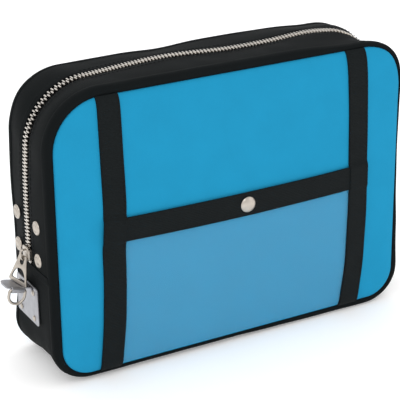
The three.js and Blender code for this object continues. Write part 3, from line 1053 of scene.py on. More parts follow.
# ---- padded faces -------------------------------------------------------------------------------
@dataclass
class PaddedFace:
    """One blue face: canvas over foam, with its lining and its border."""

    pattern: Pattern
    face: Face
    edge_rise: float = 3.2 * MM
    edge_width: float = 11 * MM
    swell: float = 9.0 * MM
    back: float = 5.5 * MM
    columns: int = 110

    def height(self, x: np.ndarray, z: np.ndarray) -> np.ndarray:
        """How far the face stands out of its seam plane.

        The edge turns over along a quarter ellipse, and the middle swells as (1 - a^2)(1 - b^2) of the
        distances from the centre. Slow ripples of a few tenths of a millimetre lie over both.

        Args:
            x: Places across the face.
            z: Places up the face.

        Returns:
            Heights out of the seam plane.
        """
        outline = self.pattern.outline
        inside = np.maximum(outline.depth_inside(x, z), 0.0)
        edge = self.edge_rise * np.sqrt(1.0 - (1.0 - np.clip(inside / self.edge_width, 0.0, 1.0)) ** 2)
        middle = (outline.top + outline.bottom) / 2.0
        across = 1.0 - (x / outline.half) ** 2
        up = 1.0 - ((z - middle) / (outline.top - middle)) ** 2
        ripple = Ripples(11 if self.face is Face.FRONT else 12, 0.05, 0.16).at(x, z)
        calm = smooth_step(inside, 4 * MM, 30 * MM)
        return edge + self.swell * np.clip(across * up, 0.0, 1.0) ** 0.85 + 0.3 * MM * ripple * calm

    def surface_y(self, x: np.ndarray, z: np.ndarray, above: float | np.ndarray = 0.0) -> np.ndarray:
        """The y coordinate of the face's skin, or of a layer above it."""
        return self.face.value * (self.pattern.seam + self.height(x, z) + above)

    def grid(self) -> tuple[np.ndarray, np.ndarray]:
        """Places over the face whose rows follow its round corners, as x and z grids.

        Returns:
            The x and z coordinates.
        """
        outline = self.pattern.outline
        turn = np.linspace(0.0, np.pi / 2.0, 14)
        foot = outline.bottom + outline.bottom_radius * (1.0 - np.cos(turn))
        head = outline.top - outline.top_radius * (1.0 - np.sin(turn))
        body = np.linspace(foot[-1], head[0], 58)[1:-1]
        heights = np.concatenate([foot, body, head])[:, None]
        t = np.linspace(-1.0, 1.0, self.columns)[None]
        x = (1.45 * t - 0.45 * t**3) * outline.half_width(heights)
        return x, heights + 0.0 * t

    def closed_between(self, near: np.ndarray, far: np.ndarray) -> Patch:
        """Settles two layers, joins them along their edges and faces them outward.

        Args:
            near: Points of the layer whose edge both layers take.
            far: Points of the other layer, in the same grid.

        Returns:
            The closed patch.
        """
        far[[0, -1]] = near[[0, -1]]
        far[:, [0, -1]] = near[:, [0, -1]]
        skin = surface(self.pattern.settled(near), closed=False)
        backing = surface(self.pattern.settled(far), closed=False).reversed()
        return merged([skin, backing]).turned_out()

    def pad(self) -> Patch:
        """The closed pad: its swelling skin, and a flat back that meets it along the edge.

        Returns:
            The pad.
        """
        x, z = self.grid()
        inside = np.maximum(self.pattern.outline.depth_inside(x, z), 0.0)
        sunk = self.back * smooth_step(inside, -1 * MM, 3 * MM)
        sunk = np.where(inside > 0.01 * MM, sunk, 0.0)
        front = np.stack([x, self.surface_y(x, z), z], axis=2)
        rear = np.stack([x, self.face.value * (self.pattern.seam - sunk), z], axis=2)
        return self.closed_between(front, rear)

    def lining(self) -> Patch:
        """A thin closed sheet behind the pad's back, slack by a millimetre here and there.

        Returns:
            The sheet.
        """
        x, z = self.grid()
        slack = 0.5 * MM * Ripples(23, 0.04, 0.12).at(x, z)
        near = np.stack([x, self.face.value * (35.6 * MM + slack), z], axis=2)
        far = near - np.array([0.0, self.face.value * 0.8 * MM, 0.0])
        return self.closed_between(near, far)

    def border(self) -> Patch:
        """The cloth that turns from the face's seam over the edge into the gusset, with slack ripples.

        Returns:
            The border.
        """
        along = np.linspace(0.0, self.pattern.outline.length, 480, endpoint=False)
        section = [
            (-2.5, 40.4), (-0.6, 41.9), (0.4, 42.8), (1.8, 43.4), (3.8, 43.5), (5.6, 43.0), (6.9, 41.8),
            (7.6, 39.6), (7.7, 37.2), (7.2, 35.6), (6.0, 35.6), (5.4, 37.2), (4.2, 39.2), (1.0, 39.9),
        ]
        offset, depth = np.array(section).T * MM
        ripple = Ripples(31 if self.face is Face.FRONT else 32, 0.035, 0.12).at(along, 0.0 * along)[:, None]
        lift = np.clip(offset / (6 * MM), 0.0, 1.0) * (depth > 39 * MM)
        points = self.pattern.sweep(along, offset + 0.35 * MM * ripple * lift, self.face.value * depth)
        return surface(points, closed_rows=True, closed_columns=True)

    def build(self, shop: Workshop) -> list[bpy.types.Object]:
        """Makes the pad, the lining and the border, and ties the rear face's pieces to the bag's body.

        Args:
            shop: Maker of the pieces.

        Returns:
            The pieces.
        """
        name = self.face.name.lower()
        pad = shop.piece(f"{name}_face", self.pad(), BLUE_CANVAS, "blue_fabric", 60)
        lining = shop.piece(f"{name}_lining_sheet", self.lining(), LINING_CLOTH, "lining", 60)
        border = shop.piece(f"{name}_border_cloth", self.border(), BLACK_CLOTH, "black_fabric", 80)
        pieces = [pad, lining, border]
        layers = [("panel", "foam"), ("lining",), ("border",)]
        for made, names in zip(pieces, layers):
            if self.face is Face.FRONT:
                halves = (f"front_{layer}_{part}" for layer in names for part in ("lower", "upper"))
                self.pattern.fold(made)
                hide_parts(*halves)
            else:
                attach(made, "bag")
                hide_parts(*(f"rear_{layer}" for layer in names))
        return pieces


# ---- stitches -----------------------------------------------------------------------------------
@dataclass
class StitchLine:
    """A run of sewn stitches along a path on a surface."""

    length: float = 2.9 * MM
    gap: float = 1.0 * MM
    width: float = 0.65 * MM

    def read(self, walked: np.ndarray, values: np.ndarray, places: np.ndarray) -> np.ndarray:
        """Vectors at places along a path, in a straight line between the ones that are given."""
        return np.stack([np.interp(places, walked, values[:, k]) for k in range(3)], axis=1)

    def run(self, path: np.ndarray, outward: np.ndarray) -> Patch:
        """Lays stitches end to end along a path.

        Args:
            path: Points on the surface, n by 3.
            outward: The surface's outward direction at each point, n by 3.

        Returns:
            All the stitches as one patch.
        """
        steps = np.linalg.norm(np.diff(path, axis=0), axis=1)
        walked = np.concatenate([[0.0], np.cumsum(steps)])
        pitch = self.length + self.gap
        centres = np.arange(pitch / 2.0, walked[-1], pitch)
        reach = pitch / 3.0
        ahead = self.read(walked, path, centres + reach) - self.read(walked, path, centres - reach)
        ahead /= np.linalg.norm(ahead, axis=1, keepdims=True)
        up = self.read(walked, outward, centres)
        side = np.cross(up, ahead)
        side /= np.linalg.norm(side, axis=1, keepdims=True)
        up = np.cross(ahead, side)
        shape = rounded_block((self.length, self.width, self.width * 0.7), 0.75, 5, 6)
        return repeated(shape, self.read(walked, path, centres), np.stack([ahead, side, up], axis=1))


# ---- straps and pocket --------------------------------------------------------------------------
@dataclass
class Strap:
    """One webbing strap sewn up the front face, bowing with the padding."""

    pattern: Pattern
    face: PaddedFace
    side: Side
    thickness: float = 1.5 * MM
    inset: float = 1.6 * MM

    def sway(self, z: np.ndarray) -> np.ndarray:
        """How far the strap wanders along X: a lean at its foot and its head, and slow ripples.

        Args:
            z: Heights along the strap.

        Returns:
            The shift in x at each height.
        """
        lean = 1.2 * MM * bump_at(z, 130 * MM, 70 * MM) - 1.1 * MM
        lean = lean - 2.8 * MM * smooth_step(-z, -60 * MM, -6 * MM)
        if self.side is Side.LEFT:
            lean = lean + 2.3 * MM * smooth_step(z, 110 * MM, 160 * MM)
        else:
            lean = lean - 1.2 * MM * smooth_step(z, 225 * MM, 252 * MM)
        return lean + 0.25 * MM * Ripples(71, 0.06, 0.15).at(z, 0.0 * z)

    def lift(self, z: np.ndarray) -> np.ndarray:
        """How far the strap stands off the face where it passes over the window's and the band's ends.

        Args:
            z: Heights along the strap.

        Returns:
            The lift at each height.
        """
        low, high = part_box("pocket_band")
        below = 1.0 - smooth_step(z, high.z - 1 * MM, high.z + 3 * MM)
        over = smooth_step(z, low.z - 3 * MM, low.z + 1 * MM) * below
        return 0.7 * MM * below + 1.1 * MM * over

    def build(self, shop: Workshop) -> list[bpy.types.Object]:
        """Makes the strap and its two rows of stitches.

        Args:
            shop: Maker of the pieces.

        Returns:
            The pieces.
        """
        name = f"strap_{self.side.name.lower()}"
        low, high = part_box(f"{name}_lower")
        z = np.linspace(self.pattern.outline.bottom - 0.4 * MM, self.pattern.outline.top + 0.4 * MM, 150)
        half = (high.x - low.x) / 2.0
        middle = (high.x + low.x) / 2.0
        edge = 0.3 * MM
        across = np.array([-half, -half + edge, half - edge, half, half, half - edge, -half + edge, -half])
        above = np.array([0.45, 1.0, 1.0, 0.45, -0.05, -0.2, -0.2, -0.05]) * self.thickness
        x = middle + across[None] + 0.0 * z[:, None]
        sway = self.sway(z)[:, None]
        lift = self.lift(z)
        heights = z[:, None] + 0.0 * across[None]
        y = self.face.surface_y(x, heights) - above[None] - lift[:, None]
        strap = surface(np.stack([x + sway, y, heights], axis=2), closed_columns=True, capped=True)
        made = shop.piece(name, strap, WEBBING, "webbing", 50)
        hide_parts(f"{name}_lower", f"{name}_upper")

        runs = []
        for sign in (-1.0, 1.0):
            sx = middle + sign * (half - self.inset) + sway[:, 0]
            sy = self.face.surface_y(sx, z, self.thickness + lift)
            out = np.stack([0 * z, -np.ones_like(z), 0 * z], axis=1)
            runs.append(StitchLine().run(np.stack([sx, sy, z], axis=1), out))
        sewn = shop.piece(f"{name}_stitches", merged(runs), THREAD, "webbing")
        for piece in (made, sewn):
            self.pattern.fold(piece)
        return [made, sewn]


@dataclass
class SlipPocket:
    """The clear pocket between the straps: vinyl, the webbing band at its mouth and a snap."""

    pattern: Pattern
    face: PaddedFace
    vinyl: float = 0.5 * MM
    gap: float = 0.5 * MM
    band_thickness: float = 1.5 * MM

    def __post_init__(self) -> None:
        """Reads the pocket's places from the frame."""
        self.low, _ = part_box("pocket_window")
        self.band_low, self.band_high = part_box("pocket_band")
        self.edge = self.band_high.x
        self.half = self.edge + 4 * MM
        cap_low, cap_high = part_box("snap_cap")
        self.snap = (cap_low.z + cap_high.z) / 2.0
        self.snap_x = (cap_low.x + cap_high.x) / 2.0
        self.cap_radius = (cap_high.x - cap_low.x) / 2.0

    def slab(self, x: np.ndarray, z: np.ndarray, inner: float, outer: float) -> Patch:
        """A thin closed layer over the face between two distances above it.

        Args:
            x: The x coordinates.
            z: The z coordinates, in the same grid.
            inner: Distance to its near side.
            outer: Distance to its far side.

        Returns:
            The layer.
        """
        near = np.stack([x, self.face.surface_y(x, z, outer), z], axis=2)
        far = np.stack([x, self.face.surface_y(x, z, inner), z], axis=2)
        ring = np.concatenate([near, far[:, ::-1]], axis=1)
        return surface(ring, closed_columns=True, capped=True)

    def half_layers(self, side: Side) -> tuple[Patch, Patch, Patch]:
        """The window, the band and the band's stitches from the middle to one strap.

        Args:
            side: The side that the strap is on.

        Returns:
            The window, the band and the stitches.
        """
        t = np.linspace(0.0, self.half, 40)[None] * side.value
        rise = np.linspace(self.low.z, self.band_low.z + 4 * MM, 44)[:, None]
        window = self.slab(t + 0.0 * rise, rise + 0.0 * t, self.gap, self.gap + self.vinyl)
        rise = np.linspace(self.band_low.z, self.band_high.z, 12)[:, None]
        inner = self.gap + self.vinyl + 0.1 * MM
        outer = inner + self.band_thickness
        band = self.slab(t + 0.0 * rise, rise + 0.0 * t, inner, outer)
        runs = []
        x = t[0]
        for level in (self.band_low.z + 1.6 * MM, self.band_high.z - 1.6 * MM):
            z = np.full_like(x, level)
            path = np.stack([x, self.face.surface_y(x, z, outer), z], axis=1)
            runs.append(StitchLine().run(path, np.broadcast_to([0.0, -1.0, 0.0], path.shape)))
        return window, band, merged(runs)

    def turned_at_snap(self, profile: list[tuple[float, float]], base: float) -> Patch:
        """Turns a profile about the snap's axis, its heights measured out from a layer over the face.

        Args:
            profile: Steps of radius and height.
            base: Distance of the layer above the face.

        Returns:
            The turned patch.
        """
        y = float(self.face.surface_y(np.array(self.snap_x), np.array(self.snap), base))
        place = placed((self.snap_x, y, self.snap), -LEFT, UP, -ACROSS)
        return turned(profile).moved(place).turned_out()

    def build(self, shop: Workshop) -> list[bpy.types.Object]:
        """Makes both halves of the pocket and the snap.

        Args:
            shop: Maker of the pieces.

        Returns:
            The pieces.
        """
        pieces = []
        windows, bands = [], []
        for side in Side:
            name = side.name.lower()
            window, band, sewn = self.half_layers(side)
            windows.append(shop.piece(f"pocket_window_{name}", window, VINYL, "clear_vinyl", 60))
            bands.append(shop.piece(f"pocket_band_{name}", band, WEBBING, "webbing", 50))
            stitches = shop.piece(f"pocket_stitches_{name}", sewn, THREAD, "webbing")
            for piece in (windows[-1], bands[-1], stitches):
                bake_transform(piece)
                pieces.append(piece)
        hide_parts("pocket_window")
        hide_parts("pocket_band")
        return pieces + self.snap_parts(shop)

    def snap_parts(self, shop: Workshop) -> list[bpy.types.Object]:
        """Makes the snap: its cap and socket on the band, and the post on the face that they close over.

        Args:
            shop: Maker of the pieces.

        Returns:
            The cap, the socket's ring and the post.
        """
        r = self.cap_radius / MM
        outer = self.gap + self.vinyl + self.band_thickness + 0.1 * MM
        cap = [(0.0, 2.7), (0.3 * r, 2.62), (0.6 * r, 2.2), (0.82 * r, 1.5), (0.95 * r, 0.8),
               (r, 0.35), (0.99 * r, 0.05), (0.9 * r, -0.1), (0.3 * r, -0.1), (0.0, -0.1)]
        socket = [(1.9, 0.0), (5.2, 0.0), (5.4, -0.4), (5.2, -1.7), (4.4, -1.9), (2.4, -1.9), (1.9, -1.5),
                  (1.9, 0.0)]
        stud = [(0.0, -0.3), (1.2, -0.4), (1.6, -0.9), (1.4, -1.6), (1.4, -2.6), (5.0, -2.7), (5.2, -3.2),
                (0.0, -3.2)]
        made = []
        for name, profile, base, node, body in (
            ("snap_button", cap, outer, "snap_cap", "pocket"),
            ("snap_ring", socket, self.gap - 0.1 * MM, "snap_socket", "pocket"),
            ("snap_post", stud, 0.3 * MM, "snap_stud", "bag"),
        ):
            steps = [(radius * MM, height * MM) for radius, height in profile]
            part = shop.piece(name, self.turned_at_snap(steps, base), NICKEL, "nickel", 35)
            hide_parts(node)
            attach(part, body)
            made.append(part)
        return made


# ---- gusset -------------------------------------------------------------------------------------
@dataclass
class Gusset:
    """The black cloth between the faces: a lower cradle, and two strips that meet at the zip."""

    pattern: Pattern
    wall: float = 1.8 * MM
    lip: float = 6.6 * MM

    def calm(self, x: np.ndarray, y: np.ndarray, z: np.ndarray) -> np.ndarray:
        """How free the cloth is to ripple: 0 under the plate and rivets on the left, 1 elsewhere."""
        held = (x < 0) * np.exp(-(((y - 2 * MM) / (34 * MM)) ** 4) - ((z - 90 * MM) / (60 * MM)) ** 4)
        return 1.0 - held

    def strip(self, face: Face) -> Patch:
        """One strip, from under the border to the folded lip beside the zip.

        Its section is a shallow bulge that rolls over at the lip and comes back inside. Ripples grow
        where nothing holds the cloth, and the top sags between its ends.

        Args:
            face: The face that the strip belongs to.

        Returns:
            The strip.
        """
        along = self.pattern.arch()
        edge, lip = 38.0 * MM, self.lip
        span = np.linspace(0.0, 1.0, 15)
        y_out = edge + (lip + 0.8 * MM - edge) * span
        out = 7.0 * MM + 0.9 * MM * np.sin(np.pi * span) ** 0.7 + 0.5 * MM * span**6
        roll_y = np.array([lip - 0.1 * MM, lip - 0.5 * MM, lip, lip + 1.2 * MM])
        roll = np.array([7.3, 6.5, 5.7, 5.4]) * MM
        y_in = edge + (lip + 3 * MM - edge) * span[::-1]
        inner = 5.2 * MM + 0.9 * MM * np.sin(np.pi * span[::-1]) ** 0.7
        depth = np.concatenate([y_out, roll_y, y_in])
        offset = np.concatenate([out, roll, inner])
        near_lip = smooth_step(-depth, -26 * MM, -8 * MM)
        seed = 61 if face is Face.FRONT else 62
        slow = Ripples(seed, 0.05, 0.16).at(along[:, None], face.value * depth[None])
        quick = Ripples(seed + 2, 0.018, 0.05).at(along[:, None], face.value * depth[None])
        x, z = self.pattern.outline.at(along[:, None], offset[None])
        calm = self.calm(x, face.value * depth[None], z)
        free = np.sin(np.pi * np.clip((edge - depth) / edge, 0.0, 1.0)) ** 0.6
        wander = self.pattern.zip_line(along)[:, None] * near_lip
        edge_wave = 0.5 * MM * Ripples(seed + 5, 0.05, 0.12).at(along, 0 * along)[:, None] * near_lip
        edge_wave = edge_wave * self.pattern.outline.upper_share(along)[:, None]
        rise = (0.55 * MM * slow + 0.16 * MM * quick) * calm * free
        loose = np.clip((edge - depth) / (edge - lip), 0.0, 1.0)
        rise = rise + self.pattern.top_sag(along)[:, None] * loose
        points = self.pattern.sweep(along, offset + rise, face.value * (depth + edge_wave) + wander)
        return surface(points, closed_columns=True, capped=True)

    def cradle(self) -> Patch:
        """The lower gusset: one width of cloth from face to face, round the bottom and up both sides.

        Returns:
            The cloth.
        """
        along = self.pattern.cradle()
        span = np.linspace(-1.0, 1.0, 31)
        depth = 38.0 * MM * span
        out = 7.0 * MM + 0.6 * MM * np.sqrt(np.clip(1.0 - span**4, 0.0, 1.0))
        x, z = self.pattern.outline.at(along[:, None], out[None])
        slow = Ripples(81, 0.05, 0.15).at(along[:, None], depth[None])
        quick = Ripples(82, 0.02, 0.06).at(along[:, None], depth[None])
        calm = self.calm(x, depth[None], z)
        free = (1.0 - span**2) ** 0.5
        rise = (0.5 * MM * slow + 0.15 * MM * quick) * calm * free
        to_end = np.minimum(along - along[0], along[-1] - along)
        hem = 0.9 * MM * smooth_step(-to_end, -9 * MM, -6 * MM)[:, None]
        outer = self.pattern.sweep(along, out + rise + hem, depth)
        inner = self.pattern.sweep(along, out + rise - self.wall, depth)
        inner[:, :, 2] = np.maximum(inner[:, :, 2], self.wall)
        return surface(np.concatenate([outer, inner[:, ::-1]], axis=1), closed_columns=True, capped=True)

    def lip_stitches(self, face: Face) -> Patch:
        """A row of stitches along a strip, a few millimetres from its lip.

        Args:
            face: The face that the strip belongs to.

        Returns:
            The stitches.
        """
        along = self.pattern.arch(900)
        depth = self.lip + 4.5 * MM
        offset = 8.0 * MM + self.pattern.top_sag(along) * 0.85
        y = face.value * depth + self.pattern.zip_line(along) * 0.9
        points = self.pattern.sweep(along, offset[:, None], y[:, None])[:, 0]
        nx, nz = self.pattern.outline.outward(along)
        return StitchLine().run(points, np.stack([nx, 0 * nx, nz], axis=1))

    def build(self, shop: Workshop) -> list[bpy.types.Object]:
        """Makes the cradle and the two strips with their stitches.

        Args:
            shop: Maker of the pieces.

        Returns:
            The pieces.
        """
        cradle = shop.piece("lower_gusset_cloth", self.cradle(), BLACK_CLOTH, "black_fabric", 60)
        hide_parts("lower_gusset")
        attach(cradle, "bag")
        pieces = [cradle]
        for face in Face:
            name = face.name.lower()
            strip = shop.piece(f"{name}_strip_cloth", self.strip(face), BLACK_CLOTH, "black_fabric", 60)
            sewn = shop.piece(f"{name}_strip_stitches", self.lip_stitches(face), THREAD, "black_fabric")
            pieces += [strip, sewn]
            if face is Face.FRONT:
                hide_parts(*(f"front_zip_strip_{part}" for part in ARCH_PARTS))
                self.pattern.fold(strip)
                self.pattern.fold(sewn)
            else:
                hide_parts("rear_zip_strip")
                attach(strip, "bag")
                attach(sewn, "bag")
        return pieces


# ---- zip ----------------------------------------------------------------------------------------
@dataclass
class Zip:
    """Two woven tapes, each with its row of metal teeth, and the stops at their ends."""

    pattern: Pattern
    pitch: float = 3.2 * MM
    tooth: tuple[float, float, float] = (1.55 * MM, 5.8 * MM, 2.7 * MM)
    reach: float = 1.1 * MM
    level: float = 7.0 * MM
    foot: float = 103.6 * MM

    def tape(self, face: Face) -> Patch:
        """A thin closed tape under the strip's lip, out to the zip's centre line.

        Args:
            face: The face that the tape belongs to.

        Returns:
            The tape.
        """
        along = self.pattern.arch()
        depth = np.array([15.5, 8.0, 1.2, 1.2, 8.0, 15.5]) * MM
        offset = np.array([4.9, 5.1, 5.9, 5.0, 4.2, 4.1]) * MM
        y = face.value * depth + self.pattern.zip_line(along)[:, None]
        points = self.pattern.sweep(along, offset + self.pattern.top_sag(along)[:, None], y)
        return surface(points, closed_columns=True, capped=True)

    def teeth(self, face: Face) -> Patch:
        """A row of teeth at an even pitch, set half a pitch off the other row so that they mesh.

        Args:
            face: The face that the row belongs to.

        Returns:
            The teeth.
        """
        outline = self.pattern.outline
        start, end = outline.right(self.foot), outline.left(self.foot)
        count = int((end - start) / self.pitch)
        shift = 0.25 if face is Face.FRONT else 0.75
        along = start + (np.arange(count) + shift) * (end - start) / count
        centre = face.value * (self.tooth[1] / 2.0 - self.reach) + self.pattern.zip_line(along)
        offset = self.level + self.pattern.top_sag(along)
        origins = self.pattern.sweep(along, offset[:, None], centre[:, None])[:, 0]
        nx, nz = outline.outward(along)
        outward = np.stack([nx, 0 * nx, nz], axis=1)
        across = np.broadcast_to([0.0, face.value, 0.0], outward.shape)
        ahead = np.cross(across, outward)
        shape = rounded_block(self.tooth, 0.5, 5, 8)
        return repeated(shape, origins, np.stack([ahead, across, outward], axis=1))

    def build(self, shop: Workshop) -> list[bpy.types.Object]:
        """Makes both tapes and both rows of teeth, and dresses the stops.

        Args:
            shop: Maker of the pieces.

        Returns:
            The pieces.
        """
        pieces = []
        for face in Face:
            name = face.name.lower()
            tape = shop.piece(f"{name}_tape", self.tape(face), TAPE_CLOTH, "zip_tape", 60)
            teeth = shop.piece(f"{name}_teeth", self.teeth(face), TEETH_METAL, "zip_metal", 50)
            for piece, node in ((tape, "tape"), (teeth, "teeth")):
                pieces.append(piece)
                if face is Face.FRONT:
                    self.pattern.fold(piece)
                    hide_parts(*(f"front_zip_{node}_{part}" for part in ARCH_PARTS))
                else:
                    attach(piece, "bag")
                    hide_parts(f"rear_zip_{node}")
        for node in ("zip_stop_left_front", "zip_stop_left_rear", "zip_stop_right"):
            low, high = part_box(node)
            size = tuple(high - low)
            block = rounded_block(size, 0.3, 9, 16).moved(Matrix.Translation((low + high) / 2.0))
            stop = shop.piece(f"{node}_clip", block, TEETH_METAL, "zip_metal", 50)
            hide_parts(node)
            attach(stop, "bag")
            pieces.append(stop)
        return pieces


# ---- metal fittings on the left side ------------------------------------------------------------
@dataclass
class Slider:
    """The zip's slider with its bridge and pull tab."""

    lean: float = math.radians(16.0)
    twist: float = math.radians(-15.0)
    tab_thickness: float = 1.4 * MM

    def body(self) -> Patch:
        """A domed upper plate, a lower plate and the flanges and post that hold them together.

        Returns:
            The slider's body.
        """
        low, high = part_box("slider_body")
        middle = (low + high) / 2.0
        width, height = high.y - low.y, high.z - low.z
        corners = [(-0.42, 0.5), (0.42, 0.5), (0.5, 0.1), (0.36, -0.5), (-0.36, -0.5), (-0.5, 0.1)]
        rim = rounded_path([(a * width, b * height) for a, b in corners], [2.6 * MM] * len(corners))
        facing = [ACROSS, UP, LEFT]
        plate = flat_plate([rim], 1.6 * MM, 0.5 * MM)
        upper = plate.moved(placed((low.x + 0.8 * MM, middle.y, middle.z), *facing))
        lower = plate.moved(placed((high.x - 0.8 * MM, middle.y, middle.z), *facing))
        blocks = [upper.turned_out(), lower.turned_out()]
        for sign in (-1.0, 1.0):
            flange = rounded_block((4.4 * MM, 1.1 * MM, height - 3.5 * MM), 0.25, 9, 12)
            place = Matrix.Translation((low.x + 2.9 * MM, sign * (width / 2.0 - 0.6 * MM), middle.z))
            blocks.append(flange.moved(place))
        post = rounded_block((high.x - low.x - 1.0 * MM, 0.6 * MM, 3.6 * MM), 0.3, 9, 12)
        blocks.append(post.moved(Matrix.Translation((middle.x, 0.0, low.z + 2.0 * MM))))
        return merged(blocks)

    def bridge(self) -> Patch:
        """An arched strap of metal that stands over the upper plate and holds the tab's eye.

        Returns:
            The bridge.
        """
        low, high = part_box("slider_bridge")
        rise, run = high.x - low.x, (high.z - low.z) / 2.0 - 0.75 * MM
        turn = np.linspace(-1.0, 1.0, 33)
        height = np.sign(turn) * np.abs(np.sin(turn * np.pi / 2.0)) ** 0.7 * run
        out = (rise - 0.75 * MM) * np.cos(turn * np.pi / 2.0) ** 0.45
        path = np.stack([high.x - out, 0 * out, (low.z + high.z) / 2.0 + height], axis=1)
        strap = rod(path, np.array([0.0, 1.0, 0.0]), np.full(len(path), 0.75 * MM), 12, ring=False)
        centre = np.array([0.0, (low.y + high.y) / 2.0, 0.0])
        widening = np.array([1.0, (high.y - low.y) / (1.5 * MM), 1.0])
        strap.vertices = centre + (strap.vertices - centre) * widening
        return strap

    def tab(self) -> Patch:
        """A flared plate with a small eye at its top and a large opening near its foot.

        Returns:
            The tab.
        """
        rim = rounded_path(
            [(-4.9, 1.3), (4.9, 1.3), (6.3, -5.0), (12.0, -23.4), (-12.0, -23.4), (-6.3, -5.0)],
            [2.2, 2.2, 3.0, 3.0, 3.0, 3.0])
        eye = rounded_path([(-2.5, -1.0), (2.5, -1.0), (2.5, -6.8), (-2.5, -6.8)], [0.6, 0.6, 2.3, 2.3])
        window = rounded_path(
            [(-8.8, -20.2), (8.8, -20.2), (6.6, -14.0), (2.6, -10.4), (-2.6, -10.4), (-6.6, -14.0)],
            [1.8, 1.8, 2.6, 2.4, 2.4, 2.6])
        plate = flat_plate([rim * MM, eye * MM, window * MM], self.tab_thickness, 0.4 * MM)
        joint = next(j for j in frame["joints"] if j["name"] == "tab_swing")
        down = Vector((-math.sin(self.lean), 0.0, -math.cos(self.lean)))
        turn = Matrix.Rotation(self.twist, 3, down)
        across = turn @ ACROSS
        return plate.moved(placed(tuple(joint["pos_m"]), across, -down, across.cross(-down))).turned_out()

    def build(self, shop: Workshop) -> list[bpy.types.Object]:
        """Makes the slider, its bridge and the tab.

        Args:
            shop: Maker of the pieces.

        Returns:
            The pieces.
        """
        made = []
        for name, patch, node, body in (
            ("slider_shell", self.body(), "slider_body", "slider"),
            ("slider_arch", self.bridge(), "slider_bridge", "slider"),
            ("zip_tab", self.tab(), "pull_tab", "pull_tab"),
        ):
            piece = shop.piece(name, patch, NICKEL, "nickel", 30)
            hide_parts(node)
            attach(piece, body)
            made.append(piece)
        return made


